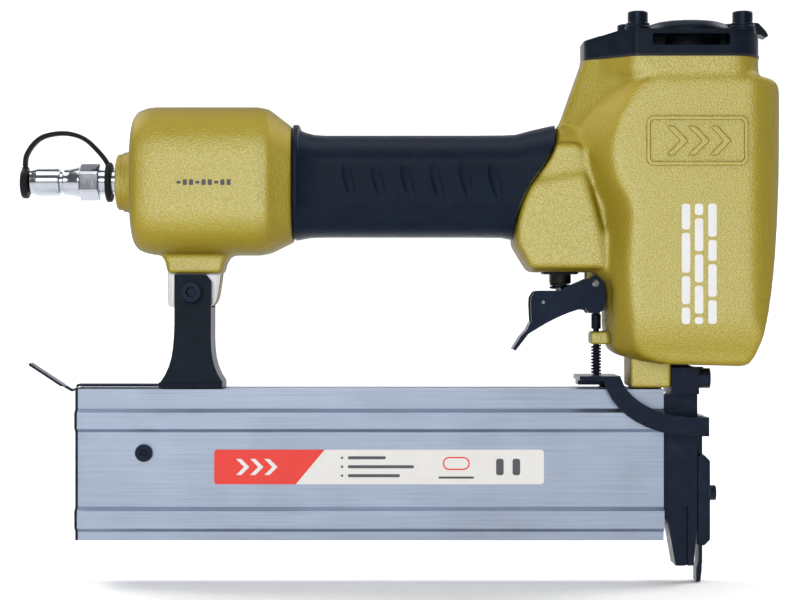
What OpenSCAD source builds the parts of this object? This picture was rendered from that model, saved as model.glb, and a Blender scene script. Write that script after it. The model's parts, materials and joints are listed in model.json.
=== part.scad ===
// Pneumatic brad nailer.
// Origin: the point on the drive axis where a brad leaves, on the work surface.
// +X points to the front of the head, +Z up along the drive axis, -Y is the label side.

/* [Head] */
// Height of the seam under the exhaust cap
head_top = 222; // [221:0.5:223]
// Half width of the head casting
head_half_w = 30; // [29:0.5:32]
// Front face of the head, from the drive axis
head_front = 37.5; // [36:0.5:39]
// Bore radius of the air reservoir in the head
head_bore_r = 25.5; // [25:0.1:25.8]
// Level of the floor that the cylinder stands on
head_floor_z = 98; // [97:0.5:99]
// Underside of the head at the front
head_under_z = 92.5; // [92.5:0.5:93]

/* [Handle and chamber] */
// Height of the handle's axis
handle_z = 169.2; // [167:0.2:170]
// Height of the grip sleeve
grip_h = 43.4; // [40:0.2:44]
// Width of the grip sleeve
grip_w = 37; // [35:0.5:40]
// Thickness of the rubber
grip_wall = 2.8; // [2:0.2:4]
// Rear face of the air chamber
chamber_rear = -237; // [-238:0.5:-236]
// Front end of the chamber, where the grip starts
chamber_front = -169; // [-170:0.5:-168]
// Height of the chamber's middle
chamber_z = 170.6; // [170:0.2:171.4]
// Chamber height
chamber_h = 62.5; // [60:0.5:65]
// Chamber width
chamber_w = 60; // [56:1:62]

/* [Air inlet] */
// Height of the plug's axis
plug_z = 171; // [170.4:0.2:171.4]
// Radius of the plug's sealing body
plug_r = 6; // [5.8:0.1:6.2]
// Rear tip of the plug
plug_tip = -282.5; // [-284:0.5:-281]
// Hexagon size across flats
plug_hex_af = 14; // [13:0.5:15]
// Radius of the dust cap
dust_r = 6.6; // [6.2:0.1:7]

/* [Cylinder] */
// Inner radius of the cylinder sleeve
sleeve_r = 19; // [18.5:0.1:19.2]
// Wall of the cylinder sleeve
sleeve_wall = 2; // [1.8:0.1:2.2]
// Top of the sleeve, where the head valve seals
sleeve_top = 211; // [210:0.5:211.5]
// Underside of the piston at rest
piston_z = 196; // [196:0.5:197]
// Drive stroke
stroke = 75; // [70:1:75]

/* [Magazine] */
// Rear end of the extrusions
mag_rear = -260.2; // [-262:0.2:-255]
// Front end of the extrusions
mag_front = -11; // [-11:0.1:-11]
// Half width over the ridges
ridge_half_w = 13.2; // [12.8:0.1:13.4]
// Half width over the flat web
web_half_w = 10.5; // [10:0.1:11]
// Wall of the extrusions
mag_wall = 1.6; // [1.4:0.1:1.8]
// Length of the brads
brad_len = 50; // [50:1:50]

/* [Trigger and safety] */
// Trigger pin, from the drive axis
trigger_x = -40; // [-40:0.1:-39.8]
// Height of the trigger pin
trigger_z = 127.5; // [127.3:0.1:127.6]
// Safety rod, from the drive axis
rod_x = -39.1; // [-39.2:0.1:-39]
// Travel of the safety
safety_travel = 7; // [6:0.5:7]

/* [Hidden] */
$fn = 48;
eps = 0.01;              // overlap that makes a cut run clean through
far_out = 200;           // longer than any cut needs

// colours
paint = "#b4a546";
black = "#23262c";
navy = "#232a3e";
steel = "#8c9096";
alu = "#b4bed2";
chrome_c = "#d8dce2";
rubber_c = "#1c1c1e";
brass_c = "#b99a4a";

// head
cap_top = 233.5;         // flat top of the exhaust cap
cap_base = head_top + 1; // the gasket is 1 mm thick
neck_half_w = 13;        // casting block that the nose bolts to
neck_rear = -25.8;
neck_bottom = 83.2;      // clear of the magazine's top
ear_bottom = 80.5;       // ears of the driver guide
nose_bolt_z = 87.2;
nose_bolt_y = 9;
cap_front = 28;          // exhaust cap, front edge and half width
cap_half = 28.5;
bolt_x = [-23.6, 20.4];  // cap bolts, rear and front
bolt_y = 20;
rear_wall_x = -35.5;     // rear wall of the lower head, behind the trigger
under_z = 132.3;         // underside of the handle root, over the trigger
valve_x = -54.6;         // trigger valve
lug_x = -211.8;          // screw of the rear bracket
lug_z = 123.7;
cap_hub_r = 8;           // boss in the cap that guides the head valve
bumper_top = piston_z - 2 - stroke - 0.5; // just under the piston at the end of its stroke
// nose
channel_half_w = 1.7;    // drive channel
channel_rear = -1;
plate_x = 0.5;           // face between driver guide and nose plate
plate_t = 2.8;
nose_bottom = safety_travel + 0.2; // the tip goes in nearly flush
guide_half_w = 8;
slot_half_w = 0.9;       // gap that the brads slide through
// magazine levels
mag_top = 82.9;
mag_bottom = 18.3;
upper_ridge = [64.2, 74.3];
lower_ridge = [22, 32.6];
top_tongue = [77, 80];
bottom_tongue = [20, 23];
tongue_reach = 6;
slide_gap = 0.4;         // running gap between the two halves
carriage = [47, 53];     // level of the pusher's carriage
carriage_reach = 7;
cover_ribs = [34, 60];
stop_at = [-232.1, 55.5]; // stop screw, in X and Z
// yoke
yoke_in = 14;            // inner face of the arms
yoke_t = 1.5;
tip_x = 4.2;             // rear face of the contact tip
tip_t = 1.5;
tip_half_w = 6;
// trigger
cheek_in = 6.6;
cheek_out = 9;
pin_r = 1.5;
lever_pin_at = [-62.4, 119.5];
lever_pin_r = 1;
lever_half_w = 3.6;
run_gap = 0.05;          // radial clearance of a running fit

// ---- helpers -----------------------------------------------------------------------------

module zcyl(z0, z1, r, x = 0, y = 0) {
    translate([x, y, z0]) cylinder(h = z1 - z0, r = r);
}

module xcyl(x0, x1, r, z, y = 0) {
    translate([x0, y, z]) rotate([0, 90, 0]) cylinder(h = x1 - x0, r = r);
}

module ycyl(y0, y1, r, x, z) {
    translate([x, y0, z]) rotate([-90, 0, 0]) cylinder(h = y1 - y0, r = r);
}

// box from its lowest to its highest corner
module block(a, b) {
    translate(a) cube(b - a);
}

// 2D shape drawn in X and Z, given a width along Y
module side_view(w, y = 0) {
    translate([0, y, 0]) rotate([90, 0, 0]) linear_extrude(height = w, center = true) children();
}

// 2D shape drawn in Y and Z, run along X
module section(x0, x1) {
    translate([x0, 0, 0]) rotate([90, 0, 90]) linear_extrude(height = x1 - x0) children();
}

// 2D profile drawn as (radius, distance), turned about a line along X
module turned_x(z) {
    translate([0, 0, z]) rotate([0, 90, 0]) rotate_extrude() children();
}

module rounded(w, h, r) {
    square([w - 2 * r, h], center = true);
    square([w, h - 2 * r], center = true);
    for (sx = [-1, 1], sy = [-1, 1]) translate([sx * (w / 2 - r), sy * (h / 2 - r)]) circle(r);
}

module seal_ring(r, t, z, x = 0) {
    translate([x, 0, z]) rotate_extrude() translate([r, 0]) circle(t, $fn = 24);
}

function bezier(p, n = 8) = [for (i = [0:n]) let (t = i / n, s = 1 - t)
    s * s * s * p[0] + 3 * s * s * t * p[1] + 3 * s * t * t * p[2] + t * t * t * p[3]];

// unit normal of a line of points at point i
function normal_at(p, i) = let (d = p[min(i + 1, len(p) - 1)] - p[max(i - 1, 0)])
    [-d[1], d[0]] / norm(d);

// strip of half thickness t along a line of points
module ribbon(p, t) {
    last = len(p) - 1;
    polygon(concat([for (i = [0:last]) p[i] + t * normal_at(p, i)],
                   [for (i = [last:-1:0]) p[i] - t * normal_at(p, i)]));
}

// closed and ground coil spring along Z, as one swept hexagon
module coil_spring(r, wire, z0, z1, turns, x = 0) {
    sides = 6;
    steps = 12;
    n = turns * steps;
    pitch = (z1 - z0 - 2 * wire) / turns;
    points = [for (i = [0:n], j = [0:sides - 1])
        let (a = 360 * i / steps, b = 360 * j / sides, q = r + wire * cos(b))
        [x + q * cos(a), q * sin(a), z0 + wire + pitch * i / steps + wire * sin(b)]];
    walls = [for (i = [0:n - 1], j = [0:sides - 1]) let (k = (j + 1) % sides)
        [i * sides + j, i * sides + k, (i + 1) * sides + k, (i + 1) * sides + j]];
    ends = [[for (j = [sides - 1:-1:0]) j], [for (j = [0:sides - 1]) n * sides + j]];
    polyhedron(points = points, faces = concat(walls, ends), convexity = 10);
}

// ---- casting -----------------------------------------------------------------------------

// line where the grip ends against the head, from top to bottom
grip_edge = bezier([[-57.4, 194.5], [-57, 174], [-74, 176], [-75.6, 144.3]]);

// side view of the head
module head_side() {
    front = bezier([[head_front, 204], [head_front - 0.5, 175], [head_front - 2, 120], [25.8, 97.3]]);
    crown = [[-45.5, head_top], [28.5, head_top], [29.5, head_top - 5.5], [33.5, head_top - 8],
             [head_front - 1, head_top - 12]];
    polygon(concat(crown, front,
                   [[22.5, head_under_z], [-26, head_under_z], [-26, 98.5], [-32, 102],
                    [rear_wall_x, 107], [rear_wall_x, under_z], [-69.3, under_z]],
                   [for (i = [len(grip_edge) - 1:-1:0]) grip_edge[i]]));
}

module head_plan() {
    r = 14;
    hull() {
        for (s = [-1, 1]) {
            translate([head_front - r, s * (head_half_w - r)]) circle(r);
            translate([-22, s * (head_half_w - r)]) circle(r);
        }
        translate([-62, 0]) circle(17);
    }
}

module head_front_half(s) {
    polygon([[0, 90], [s * 20, 90], [s * 23, 97], [s * 29, 110], [s * head_half_w, 125],
             [s * head_half_w, head_top + 1], [0, head_top + 1]]);
}

module head_solid() {
    intersection() {
        side_view(80) head_side();
        translate([0, 0, 80]) linear_extrude(height = 160) head_plan();
        section(-100, 60) {
            head_front_half(1);
            head_front_half(-1);
        }
    }
}

// rounded air chamber: cross-sections from the rear face to the grip
module chamber_solid() {
    stations = [[0, 17], [1.5, 10.5], [4.5, 4.5], [10, 0], [53, 0], [58, 1.5], [63, 6]];
    hull() {
        for (s = stations) {
            translate([chamber_rear + s[0], 0, chamber_z]) rotate([90, 0, 90])
                linear_extrude(height = eps) rounded(chamber_w - s[1], chamber_h - s[1], 16, $fn = 32);
        }
        translate([chamber_front - 0.5, 0, handle_z]) rotate([90, 0, 90])
            linear_extrude(height = 0.5) rounded(42, 47.5, 16, $fn = 32);
    }
}

module handle_core() {
    section(chamber_front - 20, -52) translate([0, handle_z])
        rounded(grip_w - 2 * grip_wall, grip_h - 2 * grip_wall, 12);
}

module trigger_ears() {
    for (s = [-1, 1]) {
        difference() {
            union() {
                ycyl(s * 5.2 - 0.9, s * 5.2 + 0.9, 3.6, trigger_x, trigger_z);
                block([trigger_x - 3.6, s * 5.2 - 0.9, trigger_z],
                      [trigger_x + 3.6, s * 5.2 + 0.9, under_z + 2]);
            }
            ycyl(-10, 10, pin_r + 0.02, trigger_x, trigger_z);
        }
    }
}

module body_casting() {
    color(paint) {
        difference() {
            union() {
                head_solid();
                chamber_solid();
                handle_core();
                // boss and machined lug of the rear bracket
                block([-222.4, -11, 131.7], [-199.1, 11, 150]);
                block([-222.4, -6.5, 117.4], [-199.6, 6.5, 140]);
                // lug that guides the safety rod
                block([-41.9, -7.5, 101.5], [-30, 7.5, 107]);
                // neck that the nose bolts to
                block([neck_rear, -neck_half_w, neck_bottom], [-8.5, neck_half_w, 105]);
            }
            // reservoir, cylinder seat, hole for the driver
            zcyl(116, head_top + 1, head_bore_r);
            zcyl(head_floor_z, 117, sleeve_r + sleeve_wall + 0.03);
            zcyl(80, 100, 4);
            // air way through the handle, chamber and inlet
            xcyl(-225, 0, 12.5, handle_z);
            xcyl(-230, -182, 25, chamber_z);
            xcyl(chamber_rear - 1, -225, 11, plug_z);
            // trigger valve
            zcyl(under_z - 1, 151, 6.03, valve_x);
            zcyl(150, 160, 3.5, valve_x);
            // safety rod
            zcyl(100, 112, 1.3 + run_gap, rod_x);
            // screws
            ycyl(-20, 20, 3.3, lug_x, lug_z);
            for (x = bolt_x, sy = [-1, 1]) zcyl(204, head_top + 1, 2.1, x, sy * bolt_y);
            for (s = [-1, 1]) xcyl(-24, 0, 2.55, nose_bolt_z, s * nose_bolt_y);
        }
        trigger_ears();
    }
}

module rubber_grip() {
    color(navy) difference() {
        union() {
            section(chamber_front + 0.2, -50) translate([0, handle_z]) rounded(grip_w, grip_h, 15);
            section(chamber_front, chamber_front + 2.8) translate([0, handle_z + 1.1])
                rounded(grip_w + 5, grip_h + 5.4, 16);
        }
        section(chamber_front - 1, -49) translate([0, handle_z])
            rounded(grip_w - 2 * grip_wall, grip_h - 2 * grip_wall, 12);
        // the front end follows the head
        side_view(80) polygon(concat(grip_edge, [[-76, 120], [0, 120], [0, 220], [-57.4, 220]]));
        // slanted grooves in both sides
        for (i = [0:5], s = [-1, 1]) {
            translate([-140.5 + 12.3 * i, s * (grip_w / 2 + 0.2), handle_z - 0.5]) rotate([0, 12, 0])
                cube([2.4, 1.4, 12], center = true);
        }
    }
}

// ---- air inlet ---------------------------------------------------------------------------

module rear_end_cap() {
    color(paint) difference() {
        union() {
            turned_x(plug_z) polygon([[0, -244.7], [11.6, -244.7], [12.4, -243.8], [13.8, chamber_rear],
                                      [0, chamber_rear]]);
            xcyl(chamber_rear - 1, -231, 10.9, plug_z);
        }
        xcyl(-250, -230, 5.5, plug_z);
        // groove for the seal ring
        turned_x(plug_z) polygon([[9, -235.6], [12, -235.6], [12, -233.4], [9, -233.4]]);
    }
}

module end_cap_oring() {
    color(rubber_c) turned_x(plug_z) translate([9.95, -234.5]) circle(0.9, $fn = 24);
}

module air_plug() {
    color(chrome_c) difference() {
        union() {
            turned_x(plug_z) polygon([[0, plug_tip], [4.95, plug_tip], [5.2, plug_tip + 0.4],
                                      [plug_r, plug_tip + 3.5], [plug_r, -269.4], [4.7, -268.9],
                                      [4.7, -267.8], [5.6, -267.4], [5.6, -265.2], [6.65, -260.7],
                                      [5.4, -260.7], [5.4, -236], [0, -236]]);
            xcyl(-260.7, -252.2, plug_hex_af / 2 / cos(30), plug_z, $fn = 6);
        }
        xcyl(plug_tip - 1, -230, 2.6, plug_z);
    }
}

// moulded strap: ring round the plug's neck, and an arch over to the dust cap
module cap_strap() {
    line = bezier([[-248.2, 178.5], [-254, 196.5], [-284, 200], [-284.4, plug_z + 6.7]], 16);
    color(rubber_c) {
        difference() {
            union() {
                xcyl(-249.4, -247, 8.6, plug_z);
                side_view(4) ribbon(line, 0.95);
            }
            xcyl(-252, -245, 5.45, plug_z);
        }
    }
}

module dust_cap() {
    color(rubber_c) {
        xcyl(-286, plug_tip - 0.3, dust_r, plug_z - 0.4);
        block([-286, -2, plug_z + 5], [plug_tip - 0.4, 2, 177.4]);
    }
}

// ---- cap and head valve ------------------------------------------------------------------

module cap_plan() {
    r = 13;
    corner = 5;
    hull() {
        for (s = [-1, 1]) {
            translate([cap_front - r, s * (cap_half - r)]) circle(r);
            translate([-29 + corner, s * (cap_half - corner)]) circle(corner);
            translate([-40, s * 8]) circle(5.5);
        }
    }
}

module bolt_holes(r) {
    for (x = bolt_x, sy = [-1, 1]) translate([x, sy * bolt_y]) circle(r);
}

module cap_gasket() {
    color("#4a4a44") translate([0, 0, head_top]) linear_extrude(height = cap_base - head_top) difference() {
        cap_plan();
        circle(head_bore_r - 1);
        bolt_holes(2.7);
    }
}

module exhaust_cap() {
    color(black) difference() {
        union() {
            translate([0, 0, cap_base]) linear_extrude(height = cap_top - 1.2 - cap_base) cap_plan();
            translate([0, 0, cap_top - 1.2]) linear_extrude(height = 1.2) offset(delta = -1) cap_plan();
            for (x = bolt_x, sy = [-1, 1]) {
                intersection() {
                    zcyl(cap_base, 235.5, 5.2, x, sy * bolt_y);
                    translate([0, 0, cap_base]) linear_extrude(height = 20) cap_plan();
                }
            }
            zcyl(216, 232, cap_hub_r);
        }
        // head valve chamber round the hub
        difference() {
            zcyl(cap_base - 1, 231.5, 20.6);
            zcyl(210, 240, cap_hub_r);
        }
        // exhaust slots in both sides
        for (s = [-1, 1]) block([-18.5, min(s * 17, s * 40), 226], [14, max(s * 17, s * 40), 231.2]);
        zcyl(210, 240, 3);
        translate([0, 0, 210]) linear_extrude(height = 40) bolt_holes(2.65);
    }
}

module cap_bolts() {
    color(steel) for (x = bolt_x, sy = [-1, 1]) translate([x, sy * bolt_y, 0]) {
        difference() {
            union() {
                zcyl(206, 236, 2.05);
                zcyl(235.5, 236.5, 4.4);
                zcyl(236.5, 241.5, 4.25);
            }
            translate([0, 0, 238.6]) cylinder(h = 5, r = 2 / cos(30), $fn = 6);
        }
    }
}

module deflector() {
    seat = cap_top + 0.3;
    color(black) difference() {
        union() {
            zcyl(seat, seat + 2.6, 18.6);
            translate([0, 0, seat + 2.6]) cylinder(h = 1.6, r1 = 18.6, r2 = 16.5);
            translate([0, 0, seat + 4.2]) cylinder(h = 1.5, r1 = 16.5, r2 = 12);
            // lip that turns the exhaust down
            side_view(9) polygon([[10, seat], [30.8, seat], [32.4, seat - 0.8], [33.6, seat - 1],
                                  [34.4, seat + 0.4], [30, seat + 5.6], [24, 239.6], [10, 238.4]]);
        }
        zcyl(230, 250, 3);
        zcyl(236.8, 250, 5);
    }
}

module deflector_screw() {
    color(steel) difference() {
        union() {
            zcyl(220, 237, 3 - run_gap);
            zcyl(236.8, 239.3, 4.6);
        }
        translate([0, 0, 237.4]) cylinder(h = 5, r = 1.5 / cos(30), $fn = 6);
    }
}

module head_valve() {
    color(steel) difference() {
        union() {
            zcyl(sleeve_top + 0.3, 217, 23.5);
            zcyl(216, 227, 11.5);
        }
        zcyl(205, 230, cap_hub_r + run_gap);
        // groove for the seal ring
        translate([0, 0, 213]) rotate_extrude() polygon([[21.5, 0], [24, 0], [24, 2.4], [21.5, 2.4]]);
    }
}

module head_valve_oring() {
    color(rubber_c) seal_ring(22.8, 1, 214.2);
}

module head_valve_spring() {
    color(chrome_c) coil_spring(14, 0.7, 217.2, 231.3, 3);
}

// ---- cylinder and piston -----------------------------------------------------------------

module cylinder_sleeve() {
    outer = sleeve_r + sleeve_wall;
    color(alu) difference() {
        union() {
            zcyl(head_floor_z, sleeve_top, outer);
            zcyl(136, 143, head_bore_r - 0.1);
        }
        zcyl(head_floor_z - 1, sleeve_top + 1, sleeve_r);
        // groove for the mid seal
        translate([0, 0, 138.3]) rotate_extrude() polygon([[23.2, 0], [27, 0], [27, 2.4], [23.2, 2.4]]);
        // return air holes above the bumper
        for (a = [0:60:300]) rotate([0, 0, a]) xcyl(sleeve_r - 2, outer + 2, 1.2, 126);
    }
}

module cylinder_seal() {
    color(rubber_c) seal_ring(24.3, 1, 139.5);
}

module bumper() {
    color("#3a3a3c") difference() {
        union() {
            zcyl(head_floor_z, 106, sleeve_r - 0.3);
            translate([0, 0, 106]) cylinder(h = bumper_top - 106, r1 = sleeve_r - 0.3, r2 = 13);
        }
        zcyl(90, 125, 5);
    }
}

module piston() {
    color(steel) difference() {
        union() {
            zcyl(piston_z, piston_z + 11, sleeve_r - run_gap);
            zcyl(piston_z - 2, piston_z + 1, 10);
        }
        translate([0, 0, piston_z + 5]) rotate_extrude()
            polygon([[16.6, 0], [20, 0], [20, 2.6], [16.6, 2.6]]);
        zcyl(piston_z + 4, piston_z + 12, 13);
    }
}

module piston_oring() {
    color(rubber_c) seal_ring(17.85, 1.05, piston_z + 6.3);
}

module driver_blade() {
    tip = 76.5;
    color(steel) {
        block([-0.8, -1.5, tip], [0.3, 1.5, piston_z - 2]);
    }
}

// ---- trigger valve -----------------------------------------------------------------------

module trigger_valve_body() {
    color(brass_c) difference() {
        union() {
            zcyl(127.7, 133, 4.7, valve_x);
            zcyl(under_z, 150, 6, valve_x);
        }
        zcyl(120, 155, 2, valve_x);
        zcyl(136, 155, 4.4, valve_x);
    }
}

module valve_plate() {
    color(black) difference() {
        block([-62.4, -7, under_z - 0.9], [-47.4, 7, under_z]);
        zcyl(125, 140, 4.8, valve_x);
    }
}

module valve_stem() {
    color(steel) difference() {
        union() {
            zcyl(123.2, 144, 2 - run_gap, valve_x);
            zcyl(136.6, 141, 4, valve_x);
        }
        translate([valve_x, 0, 137.6]) rotate_extrude() polygon([[2.9, 0], [5, 0], [5, 1.5], [2.9, 1.5]]);
    }
}

module valve_oring() {
    color(rubber_c) seal_ring(3.6, 0.6, 138.35, valve_x);
}

module valve_spring() {
    color(chrome_c) coil_spring(3.1, 0.35, 141.1, 150, 5, valve_x);
}

// ---- trigger -----------------------------------------------------------------------------

// finger surface, from the front end to the rear tip
finger = bezier([[-44.5, 117], [-50, 116], [-58, 112.8], [-66.3, 107.4]], 8);

module cheek_side() {
    difference() {
        union() {
            polygon(concat([[-36.6, 126.4], [-36, 121], [-36.6, 116.6], [-38.5, 114.8], [-43, 114.8]], finger,
                           [[-67.3, 108.7], [-67.8, 118.5], [-67.6, 121.6], [-66.2, 123.9],
                            [-65, 124.4], [-55, 124.4], [-53.4, 125.8], [-49.4, 127.1],
                            [-43.6, 129.6]]));
            translate([trigger_x, trigger_z]) circle(3.4);
        }
        translate([trigger_x, trigger_z]) circle(pin_r + run_gap);
        translate(lever_pin_at) circle(lever_pin_r + 0.02);
    }
}

// plate under the finger, with the tail that guards it
module finger_plate() {
    thick = 1.6;
    line = bezier([[-53, 114.8], [-57, 113.4], [-60, 112], [-66.3, 107.4]], 8);
    polygon(concat(line,
                   [[-68.6, 106], [-70.8, 103.2], [-74.2, 98.8], [-75.4, 99.4], [-72, 104.8],
                    [-69.4, 107.6], [-67.8, 111]],
                   [for (i = [len(line) - 1:-1:0]) line[i] + [0, thick]]));
}

module trigger() {
    color(black) {
        for (s = [-1, 1]) side_view(cheek_out - cheek_in, s * (cheek_out + cheek_in) / 2) cheek_side();
        side_view(2 * cheek_out - 1) finger_plate();
    }
}

module trigger_pin() {
    color(chrome_c) ycyl(-9.6, 9.6, pin_r, trigger_x, trigger_z);
}

module lever_pin() {
    color(steel) ycyl(-9.2, 9.2, lever_pin_r, lever_pin_at[0], lever_pin_at[1]);
}

module trigger_lever() {
    p = lever_pin_at;
    color(steel) difference() {
        union() {
            side_view(2 * lever_half_w) polygon([[p[0], p[1] - 0.7], [-58, 118], [-44, 116],
                                                 [-37.6, 115.3], [-37.6, 116.7], [-44, 117.4],
                                                 [-58, 119.6], [p[0], p[1] + 0.8]]);
            ycyl(-lever_half_w, lever_half_w, 2, p[0], p[1]);
        }
        ycyl(-10, 10, lever_pin_r + run_gap, p[0], p[1]);
    }
}

// ---- safety ------------------------------------------------------------------------------

module safety_rod() {
    color(steel) {
        zcyl(84, 113, 1.3, rod_x);
        zcyl(108, 114.8, 2.1, rod_x);
    }
}

module safety_spring() {
    color(chrome_c) coil_spring(1.85, 0.3, 88.4, 101.3, 6, rod_x);
}

// side view of one arm of the yoke, curving down and forward
module yoke_arm_side() {
    upper = bezier([[-30.1, 87.6], [-27.5, 78], [-14, 70.8], [1.1, 70.8]], 10);
    lower = bezier([[1.1, 62.8], [-17, 62.8], [-34, 71], [-37.7, 87.6]], 10);
    polygon(concat(upper, [[7.2, 70.8], [7.2, 62.8]], lower));
}

module safety_yoke() {
    outer = yoke_in + yoke_t;
    color(black) {
        difference() {
            union() {
                block([-47.5, -outer, 86.2], [-30.2, outer, 88.2]);
                block([-47.5, -6, 84.2], [-36.6, 6, 86.3]);
            }
            zcyl(80, 90, 1.3, rod_x);
        }
        for (s = [-1, 1]) side_view(yoke_t, s * (yoke_in + yoke_t / 2)) yoke_arm_side();
        block([tip_x + tip_t, -outer + 0.2, 62.8], [7.2, outer - 0.2, 70.8]);
    }
}

module contact_tip() {
    color(steel) difference() {
        union() {
            block([tip_x, -tip_half_w, 8], [tip_x + tip_t, tip_half_w, 70.8]);
            side_view(2 * tip_half_w - 3) polygon([[tip_x, 14], [tip_x + tip_t, 14], [tip_x + tip_t, 5],
                                                   [5.1, 0], [3.3, 0], [3.3, 5.5], [tip_x, 9]]);
        }
        // slot that runs over the cover's screw
        block([tip_x - 1, -2.4, 28], [tip_x + 3, 2.4, 42]);
    }
}

module guide_cover() {
    z0 = 15.9;
    z1 = 54.4;
    chamfer = 2.4;
    front = 8.6;
    rear = plate_x + plate_t;
    color(black) difference() {
        side_view(18) polygon([[rear, z0], [rear, z1], [front - chamfer, z1], [front, z1 - chamfer],
                               [front, z0 + chamfer], [front - chamfer, z0]]);
        block([rear - 1, -tip_half_w - 0.4, z0 - 1], [tip_x + tip_t + 0.4, tip_half_w + 0.4, z1 + 1]);
        xcyl(0, 20, 1.9, 37.6);
    }
}

module cover_screw() {
    color(steel) difference() {
        union() {
            xcyl(1, 9, 1.85, 37.6);
            xcyl(8.6, 12.2, 3.25, 37.6);
        }
        translate([10.2, 0, 37.6]) rotate([0, 90, 0]) cylinder(h = 5, r = 1.5 / cos(30), $fn = 6);
    }
}

// ---- nose --------------------------------------------------------------------------------

module driver_guide() {
    color(black) difference() {
        union() {
            side_view(2 * guide_half_w) polygon([[mag_front, ear_bottom - 0.7], [mag_front, 30],
                                                 [-9.2, 25.5], [-6, nose_bottom],
                                                 [plate_x, nose_bottom], [plate_x, ear_bottom]]);
            block([-8.5, -neck_half_w, ear_bottom], [plate_x, neck_half_w, head_under_z - 0.7]);
            block([-8.5, -guide_half_w, ear_bottom - 1], [plate_x, guide_half_w, head_under_z]);
        }
        // drive channel and the slot that the brads come through
        block([channel_rear, -channel_half_w, 0], [far_out, channel_half_w, 100]);
        block([-20, -slot_half_w, 24], [0, slot_half_w, 75.6]);
        for (s = [-1, 1]) xcyl(-20, 20, 2.55, nose_bolt_z, s * nose_bolt_y);
        xcyl(-4, 20, 1.9, 37.6);
    }
}

module nose_plate() {
    front = plate_x + plate_t;
    color(black) difference() {
        union() {
            side_view(2 * guide_half_w) polygon([[plate_x, nose_bottom], [front - 1.6, nose_bottom],
                                                 [front, 25.5], [front, 91.8], [plate_x, 91.8]]);
            block([plate_x, -neck_half_w, ear_bottom], [front, neck_half_w, 91.8]);
        }
        for (s = [-1, 1]) xcyl(-20, 20, 2.55, nose_bolt_z, s * nose_bolt_y);
        xcyl(-4, 20, 1.9, 37.6);
    }
}

module nose_bolts() {
    face = plate_x + plate_t;
    color(black) for (s = [-1, 1]) {
        difference() {
            union() {
                xcyl(-22, face + 1, 2.5, nose_bolt_z, s * nose_bolt_y);
                xcyl(face, face + 4.9, 4.25, nose_bolt_z, s * nose_bolt_y);
            }
            translate([face + 2.4, s * nose_bolt_y, nose_bolt_z]) rotate([0, 90, 0])
                cylinder(h = 5, r = 2 / cos(30), $fn = 6);
        }
    }
}

// ---- magazine ----------------------------------------------------------------------------

// outline of one half of the extrusion, for the +Y side
module mag_outline(inner, top) {
    slope = 1.6;
    u = upper_ridge;
    l = lower_ridge;
    w = web_half_w;
    r = ridge_half_w;
    polygon([[inner, mag_bottom], [w, mag_bottom], [w, l[0]], [r, l[0] + slope], [r, l[1] - slope],
             [w, l[1]], [w, u[0]], [r, u[0] + slope], [r, u[1] - slope], [w, u[1]], [w, top],
             [inner, top]]);
}

module tongue_band(level, grow) {
    translate([-tongue_reach - grow, level[0] - grow])
        square([tongue_reach + grow + 3, level[1] - level[0] + 2 * grow]);
}

module magazine_rail() {
    color(alu) section(mag_rear, mag_front) {
        difference() {
            mag_outline(slot_half_w, mag_top);
            difference() {
                offset(delta = -mag_wall) mag_outline(slot_half_w, mag_top);
                tongue_band(top_tongue, 0);
                tongue_band(bottom_tongue, 0);
            }
        }
        intersection() {
            union() {
                tongue_band(top_tongue, 0);
                tongue_band(bottom_tongue, 0);
            }
            translate([-20, 0]) square([20 + slot_half_w + 1, 100]);
        }
    }
}

module magazine_cover() {
    front = mag_front - slide_gap;
    color(alu) difference() {
        section(mag_rear, front) mirror([1, 0]) difference() {
            mag_outline(slot_half_w, mag_top - slide_gap);
            difference() {
                offset(delta = -mag_wall) mag_outline(slot_half_w, mag_top - slide_gap);
                // ribs that carry the inner wall
                for (z = cover_ribs) translate([0, z]) square([web_half_w, mag_wall]);
            }
            mirror([1, 0]) {
                tongue_band(top_tongue, 0.5);
                tongue_band(bottom_tongue, 0.5);
            }
            // way of the pusher's carriage
            translate([0, carriage[0] - 0.5]) square([3, carriage[1] - carriage[0] + 1]);
        }
        ycyl(-web_half_w - 1, -5, 1.55, stop_at[0], stop_at[1]);
    }
}

module end_plate() {
    color(black) section(mag_rear - 1.2, mag_rear) {
        mag_outline(-1, mag_top);
        mirror([1, 0]) mag_outline(-1, mag_top);
    }
}

module stop_screw() {
    color(black) difference() {
        union() {
            ycyl(-web_half_w - 1.8, -web_half_w, 3.7, stop_at[0], stop_at[1]);
            ycyl(-web_half_w - 1, -6, 1.5, stop_at[0], stop_at[1]);
        }
        translate([stop_at[0], -web_half_w - 1, stop_at[1]]) rotate([90, 0, 0])
            cylinder(h = 3, r = 1.25 / cos(30), $fn = 6);
    }
}

module label() {
    color("#e8e4e0") side_view(0.2, -web_half_w - 0.1) translate([-132.3, 49.5]) rounded(140, 14.7, 1.3);
}

module pusher() {
    color(steel) {
        block([-82, -0.6, 25], [-61.6, 0.6, 74.4]);
        block([-80, -carriage_reach, carriage[0]], [-66, 0, carriage[1]]);
    }
}

// coiled ribbon spring in the carriage's way, and the ribbon to its front anchor
module pusher_spring() {
    mid = (carriage[0] + carriage[1]) / 2;
    color(chrome_c) {
        difference() {
            ycyl(-carriage_reach + 0.5, -1.8, 2.4, -83.4, mid);
            ycyl(-carriage_reach, 0, 1, -83.4, mid);
        }
        block([-83.4, -carriage_reach + 0.5, mid - 2.4], [-80.2, -1.8, mid - 2.2]);
    }
}

module brad_strip() {
    pitch = 1.25;
    color(steel) for (i = [0:5]) {
        block([-61 + i * 10, -0.55, 24.7], [-61 + i * 10 + 8 * pitch - 0.05, 0.55, 24.7 + brad_len]);
    }
}

// ---- rear bracket and latch --------------------------------------------------------------

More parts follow.
